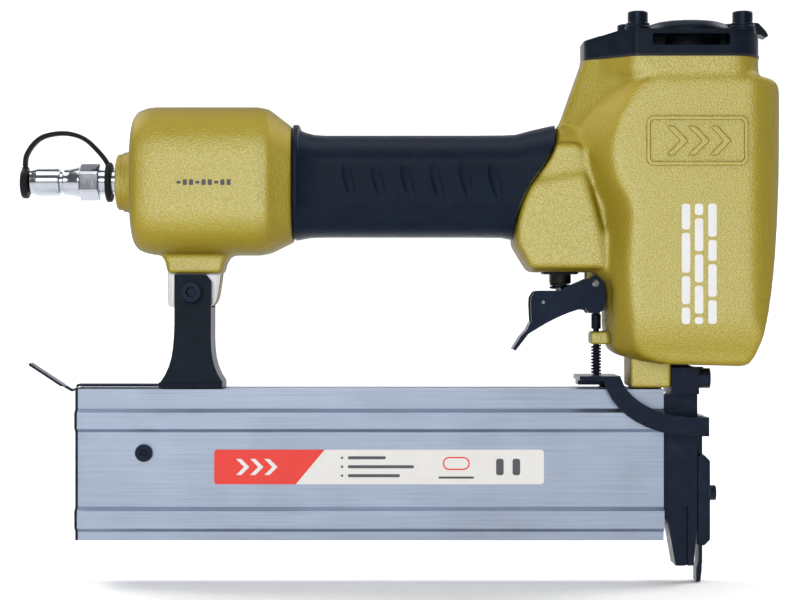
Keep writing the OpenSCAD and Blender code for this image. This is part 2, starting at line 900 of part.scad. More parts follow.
module rear_bracket() {
    cheek = bezier([[-219.3, 110], [-219.6, 98], [-220.5, 92], [-225.3, 85.4]], 6);
    front = bezier([[-198.7, 85.4], [-203.5, 92], [-203.9, 98], [-203.7, 110]], 6);
    color(black) difference() {
        union() {
            side_view(21) polygon(concat(cheek, front, [[-203.7, 128.6], [-206, 131.3], [-219.3, 131.3]]));
            block([-226, -9.5, mag_top], [-199, 12, 85.4]);
        }
        // slot over the lug of the casting
        block([-240, -6.6, 117.3], [-190, 6.6, 140]);
        ycyl(-20, 20, 3.3, lug_x, lug_z);
    }
}

module bracket_screw() {
    color(black) difference() {
        union() {
            ycyl(-13, 14.5, 3.2, lug_x, lug_z);
            ycyl(-15, -10.5, 4.2, lug_x, lug_z);
        }
        translate([lug_x, -13, lug_z]) rotate([90, 0, 0]) cylinder(h = 4, r = 2 / cos(30), $fn = 6);
    }
}

module bracket_nut() {
    color(steel) difference() {
        translate([lug_x, 10.5, lug_z]) rotate([-90, 0, 0]) cylinder(h = 4, r = 5 / cos(30), $fn = 6);
        ycyl(5, 20, 3.25, lug_x, lug_z);
    }
}

// leaf spring: flat, a hook behind the end plate, and a thumb tab
module latch_spring() {
    t = 1.1;
    line = [[-226.5, 83.4], [-261.8, 83.4], [-263.2, 81.6], [-264.6, 80.9], [-266.6, 82],
            [-282.4, 92.4]];
    color(steel) difference() {
        side_view(8) polygon(concat(line, [for (i = [len(line) - 1:-1:0]) line[i] + [0.3, t]]));
        // the hook stands over the fixed half only, so that the cover can pass
        block([-270, -10, 70], [-250, 0.6, mag_top + 0.5]);
    }
}

body_casting();
rubber_grip();
rear_end_cap();
end_cap_oring();
air_plug();
cap_strap();
dust_cap();
cap_gasket();
exhaust_cap();
cap_bolts();
deflector();
deflector_screw();
head_valve();
head_valve_oring();
head_valve_spring();
cylinder_sleeve();
cylinder_seal();
bumper();
piston();
piston_oring();
driver_blade();
trigger_valve_body();
valve_plate();
valve_stem();
valve_oring();
valve_spring();
trigger_pin();
trigger();
lever_pin();
trigger_lever();
safety_rod();
safety_spring();
safety_yoke();
contact_tip();
guide_cover();
cover_screw();
driver_guide();
nose_plate();
nose_bolts();
magazine_rail();
magazine_cover();
end_plate();
stop_screw();
label();
pusher();
pusher_spring();
brad_strip();
rear_bracket();
bracket_screw();
bracket_nut();
latch_spring();
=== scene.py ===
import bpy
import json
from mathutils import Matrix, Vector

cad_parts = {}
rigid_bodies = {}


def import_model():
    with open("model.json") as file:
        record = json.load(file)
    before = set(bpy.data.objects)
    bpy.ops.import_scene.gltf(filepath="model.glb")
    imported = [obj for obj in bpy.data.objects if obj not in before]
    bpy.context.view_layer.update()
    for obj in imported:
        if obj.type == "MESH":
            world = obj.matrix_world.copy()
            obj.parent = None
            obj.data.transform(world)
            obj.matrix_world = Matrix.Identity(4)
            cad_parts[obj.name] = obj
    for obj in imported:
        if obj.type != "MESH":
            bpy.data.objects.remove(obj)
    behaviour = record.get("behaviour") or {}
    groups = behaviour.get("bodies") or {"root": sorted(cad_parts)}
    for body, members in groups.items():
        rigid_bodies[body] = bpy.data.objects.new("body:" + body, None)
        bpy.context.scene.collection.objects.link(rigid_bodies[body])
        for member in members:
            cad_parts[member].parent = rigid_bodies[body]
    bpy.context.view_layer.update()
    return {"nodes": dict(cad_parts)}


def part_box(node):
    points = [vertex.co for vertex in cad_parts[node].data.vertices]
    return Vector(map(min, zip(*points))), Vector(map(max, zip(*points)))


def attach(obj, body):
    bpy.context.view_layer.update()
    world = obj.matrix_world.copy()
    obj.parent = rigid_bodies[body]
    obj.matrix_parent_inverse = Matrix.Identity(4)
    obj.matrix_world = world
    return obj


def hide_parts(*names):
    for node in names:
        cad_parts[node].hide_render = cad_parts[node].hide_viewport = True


bl_info = {
    "name": "Pneumatic brad nailer",
    "version": (1, 0, 0),
    "blender": (4, 5, 0),
    "location": "View3D > Sidebar > Nailer",
    "description": "Builds the shells, screws, springs and finishes of a pneumatic brad nailer "
                   "round its frame",
    "category": "Object",
}

import json
import math

import bmesh
import bpy
from mathutils import Vector

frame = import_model()
MM = 0.001

# ---------------------------------------------------------------------------------------------
# Places taken from the frame, in millimetres


def low(node):
    """Lowest corner of a frame node, in mm."""
    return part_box(node)[0] / MM


def high(node):
    """Highest corner of a frame node, in mm."""
    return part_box(node)[1] / MM


def middle(node):
    """Middle of a frame node's box, in mm."""
    return (low(node) + high(node)) / 2


HEAD_FRONT = high("body_casting").x
HEAD_HALF = high("body_casting").y
SEAM_Z = low("cap_gasket").z
CAP_BASE_Z = high("cap_gasket").z
HEAD_UNDER_Z = high("driver_guide").z
UNDER_Z = high("valve_plate").z
HANDLE_Z = middle("rubber_grip").z - 0.5
CHAMBER_REAR = high("rear_end_cap").x - 6
CHAMBER_FRONT = low("rubber_grip").x
PLUG_Z = middle("air_plug").z
RIDGE_HALF = high("magazine_rail").y
LUG_X = middle("bracket_screw").x
LUG_Z = middle("bracket_screw").z
FLAT_HALF = HEAD_HALF - 0.75
CHAMBER_HALF = HEAD_HALF - 0.2
TRIGGER_PIN = middle("trigger_pin")
LEVER_PIN = middle("lever_pin")
VALVE_X = middle("trigger_valve_body").x
ROD_X = middle("safety_rod").x
NOSE_BOLT_Z = middle("nose_bolts").z
WASHER_R = 4.4
BOLT_Y = 20
# places of the four cap bolts
BOLTS = [(x, y) for x in (low("cap_bolts").x + WASHER_R, high("cap_bolts").x - WASHER_R)
         for y in (-BOLT_Y, BOLT_Y)]
ORIGIN = (0, 0, 0)


# ---------------------------------------------------------------------------------------------
# Colours and settings


def linear(code):
    """Linear RGB of an sRGB hex colour."""
    parts = [int(code[i:i + 2], 16) / 255 for i in (1, 3, 5)]
    return tuple(c / 12.92 if c <= 0.04045 else ((c + 0.055) / 1.055) ** 2.4 for c in parts)


def colour(label, code, about):
    """A colour property with its default."""
    return bpy.props.FloatVectorProperty(name=label, description=about, subtype="COLOR",
                                         size=3, min=0, max=1, default=linear(code))


def length(label, value, about):
    """A length property; the default is in millimetres."""
    return bpy.props.FloatProperty(name=label, description=about, unit="LENGTH",
                                   subtype="DISTANCE", min=0, default=value * MM, precision=5)


class NailerColours(bpy.types.PropertyGroup):
    """Colours that a user would change."""
    # three copies of the enamel colour, lit and shaded: the face-on one is a painted highlight, the
    # turned-away one painted shade, the middle one between them
    enamel_painted_highlight: colour("Enamel, face on", "#D3CA90", "Metallic enamel seen face on")
    enamel: colour("Enamel", "#B5A748", "Metallic enamel on the casting")
    enamel_painted_shade: colour("Enamel, turned away", "#A08C1C", "Metallic enamel seen at a slant")
    grip: colour("Grip", "#0B182A", "Moulded rubber of the grip")
    black: colour("Black paint", "#0E1926", "Epoxy coat of the exhaust cap")
    oxide: colour("Black oxide", "#151F31", "Blackened steel of nose, bracket and screws")
    aluminium: colour("Aluminium", "#A4AFC2", "Anodised magazine extrusion")
    label_red: colour("Label red", "#F5301F", "Printed film, red part")
    label_white: colour("Label white", "#F4F2EE", "Printed film, white part")


class NailerSizes(bpy.types.PropertyGroup):
    """Sizes that a user would change."""
    voxel: length("Casting voxel", 1.1, "Cell size when the casting's solids are blended")
    edge: length("Edge radius", 0.35, "Radius of the edges of small steel pieces")
    grain: length("Enamel grain", 0.65, "Size of the bumps in the enamel")
    camera_distance: length("Camera distance", 850, "From the camera to the middle plane")


def sizes():
    """The size settings of the scene."""
    return bpy.context.scene.nailer_sizes


def colours():
    """The colour settings of the scene."""
    return bpy.context.scene.nailer_colours


# ---------------------------------------------------------------------------------------------
# Materials


def add_node(tree, kind, links=None, **settings):
    """Adds a node. Settings name either its own options or its inputs; links feed its inputs."""
    node = tree.nodes.new(kind)
    for key, value in settings.items():
        if hasattr(node, key):
            setattr(node, key, value)
        else:
            node.inputs[key.replace("_", " ")].default_value = value
    for key, source in (links or {}).items():
        tree.links.new(source, node.inputs[key])
    return node


MATERIALS = {}


def new_material(name):
    """An empty material with its output, shader and object coordinates."""
    mat = bpy.data.materials.new(name)
    mat.use_nodes = True
    tree = mat.node_tree
    tree.nodes.clear()
    shader = add_node(tree, "ShaderNodeBsdfPrincipled")
    add_node(tree, "ShaderNodeOutputMaterial", {"Surface": shader.outputs[0]})
    place = add_node(tree, "ShaderNodeTexCoord").outputs["Object"]
    MATERIALS[name] = mat
    return tree, shader, place


def rgba(rgb):
    """RGB with full alpha."""
    return (*rgb, 1.0)


def noise(tree, place, size_mm, detail=2.0, rough=0.5):
    """Noise whose grain is about size_mm across."""
    return add_node(tree, "ShaderNodeTexNoise", {"Vector": place}, Scale=1 / (size_mm * MM),
                    Detail=detail, Roughness=rough).outputs["Fac"]


def stretched(tree, place, scale):
    """Coordinates squeezed along the axes, for drawn and brushed metal."""
    return add_node(tree, "ShaderNodeMapping", {"Vector": place}, Scale=scale).outputs[0]


def ramp(tree, value, stops):
    """Colour ramp; stops are (position, rgb)."""
    node = add_node(tree, "ShaderNodeValToRGB", {"Fac": value})
    cells = node.color_ramp.elements
    while len(cells) < len(stops):
        cells.new(0.5)
    for cell, (at, rgb) in zip(cells, stops):
        cell.position = at
        cell.color = rgba(rgb)
    return node.outputs["Color"]


def spread(tree, value, low_end, high_end):
    """Maps 0 to 1 onto another range."""
    return add_node(tree, "ShaderNodeMapRange", {"Value": value}, To_Min=low_end,
                    To_Max=high_end).outputs["Result"]


def blend_values(tree, one, two, share):
    """Mix of two values; share belongs to the second."""
    return add_node(tree, "ShaderNodeMix", {"A": one, "B": two}, data_type="FLOAT",
                    Factor=share).outputs["Result"]


def dress(tree, shader, pattern, stops, rough, **values):
    """Base colour and roughness from one pattern, and plain values for other shader inputs."""
    tree.links.new(ramp(tree, pattern, stops), shader.inputs["Base Color"])
    tree.links.new(spread(tree, pattern, *rough), shader.inputs["Roughness"])
    for key, value in values.items():
        shader.inputs[key.replace("_", " ")].default_value = value


def bump(tree, shader, height, depth_mm, strength=1.0):
    """Bump of a real depth on the shader."""
    node = add_node(tree, "ShaderNodeBump", {"Height": height}, Strength=strength,
                    Distance=depth_mm * MM)
    tree.links.new(node.outputs[0], shader.inputs["Normal"])


def shade(rgb, factor):
    """A colour made lighter or darker."""
    return tuple(min(1.0, c * factor) for c in rgb)


def hammered_enamel():
    """Stoved metallic enamel on die-cast aluminium with a pebbled skin. Its base colour holds
    painted
    light: a pale painted highlight face on, deep olive painted shade where the surface turns away."""
    tree, shader, place = new_material("hammered_enamel")
    grain_mm = sizes().grain / MM
    pebbles = noise(tree, place, grain_mm, 1.5, 0.5)
    flakes = noise(tree, place, grain_mm * 0.4, 1.0, 0.5)
    height = blend_values(tree, pebbles, flakes, 0.3)
    bump(tree, shader, height, 0.45, 0.8)
    relief = shader.inputs["Normal"].links[0].from_socket
    # painted light: the base colour follows how far the surface turns from the camera
    turned_away = add_node(tree, "ShaderNodeLayerWeight", {"Normal": relief},
                           Blend=0.5).outputs["Facing"]
    pale, body, deep = colours().enamel_painted_highlight, colours().enamel, colours().enamel_painted_shade
    # painted shade: the hollows of the pebbles take the deeper tone
    painted_hollow_shade = spread(tree, height, 0.11, -0.10)
    value = add_node(tree, "ShaderNodeMath", operation="ADD", use_clamp=True)
    tree.links.new(turned_away, value.inputs[0])
    tree.links.new(painted_hollow_shade, value.inputs[1])
    # painted highlight face on, painted shade turned away, down to near black on grazing walls
    painted_light_tone = ramp(tree, value.outputs[0], [(0.0, pale), (0.07, body), (0.19, deep),
                                         (0.6, shade(deep, 0.75)), (1.0, shade(deep, 0.2))])
    tree.links.new(painted_light_tone, shader.inputs["Base Color"])
    tree.links.new(spread(tree, flakes, 0.4, 0.6), shader.inputs["Roughness"])
    shader.inputs["Metallic"].default_value = 0.25
    shader.inputs["Specular IOR Level"].default_value = 0.3


def moulded_rubber(name="moulded_rubber", rgb=None, grain_mm=1.1, rough=(0.36, 0.5), depth=0.09):
    """Moulded rubber: fine leather grain from the mould and a dull, even sheen."""
    tree, shader, place = new_material(name)
    rgb = rgb or tuple(colours().grip)
    cells = add_node(tree, "ShaderNodeTexVoronoi", {"Vector": place},
                     Scale=1 / (grain_mm * MM)).outputs["Distance"]
    cloud = noise(tree, place, 9)
    dress(tree, shader, cloud, [(0.35, shade(rgb, 0.85)), (0.65, shade(rgb, 1.15))], rough,
          Specular_IOR_Level=0.12)
    bump(tree, shader, cells, depth, 0.8)


def epoxy_black(name="epoxy_black", rgb=None, grain_mm=0.7, rough=(0.34, 0.5)):
    """Black powder coat on cast metal: slightly pebbled, satin."""
    tree, shader, place = new_material(name)
    rgb = rgb or tuple(colours().black)
    grain = noise(tree, place, grain_mm, 2.0, 0.5)
    cloud = noise(tree, place, 7, 3.0, 0.6)
    dress(tree, shader, cloud, [(0.3, shade(rgb, 0.8)), (0.7, shade(rgb, 1.25))], rough,
          Metallic=0.1, Specular_IOR_Level=0.14)
    bump(tree, shader, grain, 0.05, 0.6)


def black_oxide():
    """Hot-blackened steel: dark, a little oily, with worn lighter patches."""
    tree, shader, place = new_material("black_oxide_steel")
    rgb = tuple(colours().oxide)
    patches = noise(tree, place, 6, 4.0, 0.65)
    grit = noise(tree, place, 0.4)
    dress(tree, shader, patches, [(0.35, shade(rgb, 0.75)), (0.6, rgb), (0.78, shade(rgb, 1.9))],
          (0.5, 0.28), Metallic=0.75)
    bump(tree, shader, grit, 0.02, 0.5)


def drawn_metal(name, rgb, grain, rough=(0.26, 0.42), depth=0.012, metallic=1.0):
    """Metal with fine lines along one axis; grain is the squeeze along X, Y and Z."""
    tree, shader, place = new_material(name)
    lines = noise(tree, stretched(tree, place, grain), 1.0, 4.0, 0.6)
    cloud = noise(tree, place, 22)
    both = blend_values(tree, lines, cloud, 0.35)
    dress(tree, shader, both, [(0.35, shade(rgb, 0.84)), (0.65, shade(rgb, 1.06))], rough,
          Metallic=metallic)
    bump(tree, shader, lines, depth, 0.6)


def plated(name, rgb, rough=0.1):
    """Bright plating on turned metal: mirror-like, with faint turning rings."""
    tree, shader, place = new_material(name)
    rings = noise(tree, stretched(tree, place, (4, 0.2, 0.2)), 1.0)
    dress(tree, shader, rings, [(0.3, shade(rgb, 0.9)), (0.7, rgb)], (rough * 0.7, rough * 1.6),
          Metallic=1.0)


def printed_film(name, rgb, rough=0.32):
    """Screen-printed polyester film: even colour under a clear, slightly glossy face."""
    tree, shader, place = new_material(name)
    haze = noise(tree, place, 5, 3.0, 0.5)
    dress(tree, shader, haze, [(0.3, shade(rgb, 0.96)), (0.7, rgb)], (rough, rough + 0.1),
          Coat_Weight=0.3, Coat_Roughness=0.15)


def studio_paper():
    """Matt white paper of the floor and backdrop."""
    tree, shader, place = new_material("studio_paper")
    fibre = noise(tree, place, 1.5)
    tree.links.new(ramp(tree, fibre, [(0.3, linear("#F6F6F6")), (0.7, linear("#FAFAFA"))]),
                   shader.inputs["Base Color"])
    shader.inputs["Roughness"].default_value = 0.9


def make_materials():
    """Every finish of the tool, by name."""
    along_x = (0.02, 1.6, 1.6)
    hammered_enamel()
    moulded_rubber()
    moulded_rubber("strap_elastomer", linear("#191A1D"), 0.5, (0.45, 0.6), 0.02)
    moulded_rubber("nitrile_seal", linear("#141414"), 0.4, (0.4, 0.5), 0.01)
    moulded_rubber("cast_polyurethane", linear("#3A3A3C"), 1.5, (0.4, 0.55), 0.02)
    epoxy_black()
    epoxy_black("powder_coat_trigger", linear("#142034"), 0.5, (0.3, 0.42))
    black_oxide()
    drawn_metal("anodised_extrusion", tuple(colours().aluminium), along_x, (0.34, 0.46), 0.012)
    drawn_metal("machined_casting", linear("#D4D7DA"), (1.2, 1.2, 0.05), (0.22, 0.36), 0.015)
    drawn_metal("turned_aluminium", linear("#C2C5C9"), (0.3, 0.3, 2.5), (0.2, 0.32), 0.01)
    drawn_metal("ground_steel", linear("#9A9DA2"), (1.5, 1.5, 0.06), (0.2, 0.34), 0.008)
    drawn_metal("zinc_plate", linear("#B9BDC1"), (1.0, 1.0, 1.0), (0.24, 0.36), 0.006)
    drawn_metal("blackened_brass", linear("#2A2823"), (0.3, 0.3, 2.5), (0.3, 0.42), 0.008, 0.8)
    plated("nickel_chrome", linear("#B9BDC6"), 0.14)
    printed_film("film_red", tuple(colours().label_red))
    printed_film("film_white", tuple(colours().label_white))
    printed_film("print_white", linear("#F2F2F0"), 0.45)
    printed_film("print_grey", linear("#4A4C52"), 0.45)
    printed_film("gasket_fibre", linear("#1B1C1F"), 0.8)
    studio_paper()


# Frame node: finish it shows when no new piece stands for it.
NODE_FINISH = {
    "nitrile_seal": ["end_cap_oring", "head_valve_oring", "cylinder_seal", "piston_oring",
                     "valve_oring"],
    "gasket_fibre": ["cap_gasket"],
    "turned_aluminium": ["head_valve", "cylinder_sleeve", "piston"],
    "cast_polyurethane": ["bumper"],
    "ground_steel": ["driver_blade", "valve_stem", "lever_pin", "pusher", "pusher_spring"],
    "blackened_brass": ["trigger_valve_body"],
    "zinc_plate": ["brad_strip", "bracket_nut", "trigger_lever", "safety_rod"],
    "nickel_chrome": ["trigger_pin", "air_plug"],
    "hammered_enamel": ["body_casting", "rear_end_cap"],
    "moulded_rubber": ["rubber_grip"],
    "strap_elastomer": ["cap_strap", "dust_cap"],
    "epoxy_black": ["exhaust_cap", "deflector"],
    "powder_coat_trigger": ["trigger"],
    "anodised_extrusion": ["magazine_rail", "magazine_cover"],
    "film_white": ["label"],
    "black_oxide_steel": ["cap_bolts", "deflector_screw", "valve_plate", "safety_yoke",
                          "contact_tip", "guide_cover", "cover_screw", "driver_guide",
                          "nose_plate", "nose_bolts", "end_plate", "stop_screw", "rear_bracket",
                          "bracket_screw", "latch_spring", "head_valve_spring", "valve_spring",
                          "safety_spring"],
}


# ---------------------------------------------------------------------------------------------
# Modelling helpers: points are in millimetres


def leave_edit_mode():
    """Back to object mode."""
    if bpy.context.object and bpy.context.object.mode != "OBJECT":
        bpy.ops.object.mode_set(mode="OBJECT")


def clear():
    """Object mode with nothing selected."""
    leave_edit_mode()
    bpy.ops.object.select_all(action="DESELECT")


def pick(*objects):
    """Selects only these objects, and makes the last one active."""
    clear()
    for obj in objects:
        obj.select_set(True)
    bpy.context.view_layer.objects.active = objects[-1]


def edit_all(obj):
    """Edit mode with everything selected."""
    pick(obj)
    bpy.ops.object.mode_set(mode="EDIT")
    bpy.ops.mesh.select_mode(type="VERT")
    bpy.ops.mesh.select_all(action="SELECT")


def extrude(move):
    """Extrudes what is selected, and moves it by a vector in mm."""
    bpy.ops.mesh.extrude_region_move(TRANSFORM_OT_translate={"value": Vector(move) * MM})


def fill():
    """Selects all and fills it with a face."""
    bpy.ops.mesh.select_all(action="SELECT")
    bpy.ops.mesh.edge_face_add()


def trace(points):
    """Draws a line by extruding one vertex from point to point, and stays in edit mode."""
    clear()
    bpy.ops.mesh.primitive_plane_add(size=1, location=(0, 0, 0))
    obj = bpy.context.active_object
    bpy.ops.object.mode_set(mode="EDIT")
    bpy.ops.mesh.select_mode(type="VERT")
    bpy.ops.mesh.select_all(action="SELECT")
    bpy.ops.mesh.merge(type="CENTER")
    here = Vector(points[0]) * MM
    bpy.ops.transform.translate(value=here)
    for point in points[1:]:
        there = Vector(point) * MM
        bpy.ops.mesh.extrude_region_move(TRANSFORM_OT_translate={"value": there - here})
        here = there
    return obj


def tidy(obj, merge=0.002):
    """Merges doubles and turns the faces outwards."""
    edit_all(obj)
    bpy.ops.mesh.remove_doubles(threshold=merge * MM)
    bpy.ops.mesh.normals_make_consistent(inside=False)
    leave_edit_mode()
    return obj


def pushed(points, travel):
    """A closed outline of 3D points, filled and pushed along travel."""
    obj = trace(points)
    fill()
    extrude(travel)
    leave_edit_mode()
    return tidy(obj)


def side_solid(outline, y0, y1):
    """Outline in X and Z, from y0 to y1."""
    return pushed([(x, y0, z) for x, z in outline], (0, y1 - y0, 0))


def plan_solid(outline, z0, z1):
    """Outline in X and Y, from z0 to z1."""
    return pushed([(x, y, z0) for x, y in outline], (0, 0, z1 - z0))


def section_solid(outline, x0, x1):
    """Outline in Y and Z, from x0 to x1."""
    return pushed([(x0, y, z) for y, z in outline], (x1 - x0, 0, 0))


def turned(profile, centre, axis="Z", steps=64):
    """Spins a profile of (radius, place along the axis) round an axis through centre."""
    centre = Vector(centre)
    if axis == "X":
        line = [(t, centre.y, centre.z + r) for r, t in profile]
        way = (1, 0, 0)
    elif axis == "Y":
        line = [(centre.x, t, centre.z + r) for r, t in profile]
        way = (0, 1, 0)
    else:
        line = [(centre.x + r, centre.y, t) for r, t in profile]
        way = (0, 0, 1)
    obj = trace(line)
    bpy.ops.mesh.select_all(action="SELECT")
    bpy.ops.mesh.spin(steps=steps, angle=2 * math.pi, center=centre * MM, axis=way)
    leave_edit_mode()
    return tidy(obj)


def rod(r, start, end, at=ORIGIN, axis="Z", steps=32):
    """Plain round bar along an axis."""
    return turned([(0, start), (r, start), (r, end), (0, end)], at, axis, steps)


def tube(inner, outer, start, end):
    """Plain open tube round the cylinder's axis."""
    return turned([(inner, start), (outer, start), (outer, end), (inner, end), (inner, start)],
                  ORIGIN)


def box_solid(a, b):
    """Box between two corners, from a cube primitive."""
    clear()
    a, b = Vector(a), Vector(b)
    bpy.ops.mesh.primitive_cube_add(size=1, location=(0, 0, 0))
    obj = bpy.context.active_object
    bpy.ops.object.mode_set(mode="EDIT")
    bpy.ops.transform.resize(value=(b - a) * MM)
    bpy.ops.transform.translate(value=(a + b) / 2 * MM)
    leave_edit_mode()
    return obj


# half a hexagon's size across flats over the radius of its corners
HEX_RATIO = math.cos(math.pi / 6)


def hexagon_tool(centre, across, depth, axis):
    """Six-sided cutter for a socket, centred on centre."""
    clear()
    turn = {"X": (0, math.pi / 2, 0), "Y": (math.pi / 2, 0, 0), "Z": (0, 0, 0)}[axis]
    bpy.ops.mesh.primitive_cylinder_add(vertices=6, radius=across / 2 / HEX_RATIO * MM,
                                        depth=depth * MM, location=Vector(centre) * MM,
                                        rotation=turn)
    obj = bpy.context.active_object
    bpy.ops.object.transform_apply(location=True, rotation=True, scale=True)
    return obj


def modify(obj, kind, **settings):
    """Adds a modifier and applies it."""
    pick(obj)
    bpy.ops.object.modifier_add(type=kind)
    modifier = obj.modifiers[-1]
    for key, value in settings.items():
        setattr(modifier, key, value)
    bpy.ops.object.modifier_apply(modifier=modifier.name)
    return obj


def rounded(obj, radius, segments=3, angle=40):
    """Bevels edges sharper than angle."""
    return modify(obj, "BEVEL", width=radius * MM, segments=segments, limit_method="ANGLE",
                  angle_limit=math.radians(angle), use_clamp_overlap=True, miter_outer="MITER_ARC")


def cut(obj, *tools, operation="DIFFERENCE"):
    """Boolean with each tool, which is then removed."""
    for tool in tools:
        modify(obj, "BOOLEAN", object=tool, operation=operation, solver="EXACT")
        bpy.data.objects.remove(tool)
    return obj


def joined(*objects):
    """One object from several."""
    pick(*objects)
    bpy.ops.object.join()
    return bpy.context.active_object


def copied(obj, offset=(0, 0, 0), mirror=None):
    """A copy with its own mesh, moved by offset or mirrored along an axis index."""
    pick(obj)
    bpy.ops.object.duplicate()
    other = bpy.context.active_object
    bpy.ops.object.mode_set(mode="EDIT")
    bpy.ops.mesh.select_all(action="SELECT")
    bpy.ops.transform.translate(value=Vector(offset) * MM)
    if mirror is not None:
        scale = [1, 1, 1]
        scale[mirror] = -1
        bpy.ops.transform.resize(value=scale, center_override=(0, 0, 0))
        bpy.ops.mesh.normals_make_consistent(inside=False)
    leave_edit_mode()
    return other


def soft_shade(obj, angle=35):
    """Smooth shading with creases kept sharp."""
    pick(obj)
    bpy.ops.object.shade_smooth_by_angle(angle=math.radians(angle))
    return modify(obj, "WEIGHTED_NORMAL", keep_sharp=True, weight=80)


def paint(obj, finish):
    """Adds a finish to an object."""
    obj.data.materials.append(MATERIALS[finish])


def piece(obj, name, finish, body, slot, *replaces):
    """Names a finished object, gives it its finish, and ties it to its body."""
    obj.name = name
    obj.data.name = name
    if finish:
        obj.data.materials.clear()
        paint(obj, finish)
    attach(obj, body)
    if replaces:
        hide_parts(*replaces)
    return obj


def from_frame(node, radius=None, segments=2, angle=35, shape=None):
    """A copy of a frame node's mesh, cleaned to flat faces, with its edges rounded."""
    pick(frame["nodes"][node])
    bpy.ops.object.duplicate()
    obj = bpy.context.active_object
    bpy.ops.object.parent_clear(type="CLEAR_KEEP_TRANSFORM")
    for key in [k for k in obj.keys() if k.startswith("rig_")]:
        del obj[key]
    edit_all(obj)
    bpy.ops.mesh.remove_doubles(threshold=0.003 * MM)
    bpy.ops.mesh.dissolve_limited(angle_limit=math.radians(0.6))
    leave_edit_mode()
    if shape:
        shape(obj)
    rounded(obj, radius or sizes().edge / MM, segments, angle)
    return soft_shade(obj, 30)


def curve(*control, steps=10):
    """Points on a cubic curve through its control points, in 2D."""
    a, b, c, d = (Vector(p) for p in control)
    points = []
    for i in range(steps + 1):
        t = i / steps
        s = 1 - t
        points.append(tuple(s ** 3 * a + 3 * s * s * t * b + 3 * s * t * t * c + t ** 3 * d))
    return points


def chevron(x, z, half, reach, thick):
    """Outline of an arrow-shaped bar that points to +X."""
    return [(x, z - half), (x + reach, z), (x, z + half), (x + thick, z + half),
            (x + reach + thick, z), (x + thick, z - half)]


def arc(cx, cy, r, start, end, steps=8):
    """Points on an arc, angles in degrees."""
    return [(cx + r * math.cos(math.radians(start + (end - start) * i / steps)),
             cy + r * math.sin(math.radians(start + (end - start) * i / steps)))
            for i in range(steps + 1)]


def round_box(cx, cy, w, h, r, steps=6):
    """Outline of a rectangle with round corners."""
    x, y = w / 2 - r, h / 2 - r
    return (arc(cx + x, cy + y, r, 0, 90, steps) + arc(cx - x, cy + y, r, 90, 180, steps)
            + arc(cx - x, cy - y, r, 180, 270, steps) + arc(cx + x, cy - y, r, 270, 360, steps))


def lofted(stations, z, steps):
    """Skin through round boxes along X, the first of them at height z. A station is (place along
    X, width, height, corner radius, rise), and a box stands above the one before by their rises."""
    first = stations[0]
    obj = trace([(first[0], y, z + up) for y, up in round_box(0, 0, *first[1:4], steps)])
    fill()
    for before, after in zip(stations, stations[1:]):
        extrude((after[0] - before[0], 0, after[4] - before[4]))
        bpy.ops.transform.resize(value=(1, after[1] / before[1], after[2] / before[2]),
                                 center_override=Vector((after[0], 0, z + after[4])) * MM)
    leave_edit_mode()
    return tidy(obj)


# ---------------------------------------------------------------------------------------------
# Casting

# rounds of smoothing for the head, the chamber and the block over the nose
HEAD_SOFTENING = 18
CHAMBER_SOFTENING = 5
NECK_SOFTENING = 3
# how far the rear flank of the cylinder housing reaches back, and how deep it falls, in mm
FLANK_REACH = 13.5
FLANK_DEPTH = 16
FLANK_SLICES = 8
# radii of the bores and holes in the casting, in mm
CYLINDER_SEAT_R = 21.03
RESERVOIR_R = 25.5
DRIVER_WAY_R = 4
VALVE_BORE_R = 6.03
ROD_HOLE_R = 1.4
# how far a cutter reaches past the seam under the exhaust cap
TRIM = 30

# edge between the grip and the body behind the trigger
GRIP_EDGE = curve((-57.4, 194.5), (-57, 174), (-74, 176), (-75.6, 144.3), steps=12)


def cap_outline(grow=0.0, steps=8):
    """Plan of the exhaust cap: round front corners and a narrower lobe to the rear."""
    r = 13 + grow
    c = 5 + grow
    f = 5.5 + grow
    half = (arc(15, 15.5, r, 0, 90, steps) + arc(-24, 23.5, c, 90, 134, steps // 2)
            + arc(-40, 8, f, 134, 180, steps))
    return half + [(x, -y) for x, y in half[::-1]]


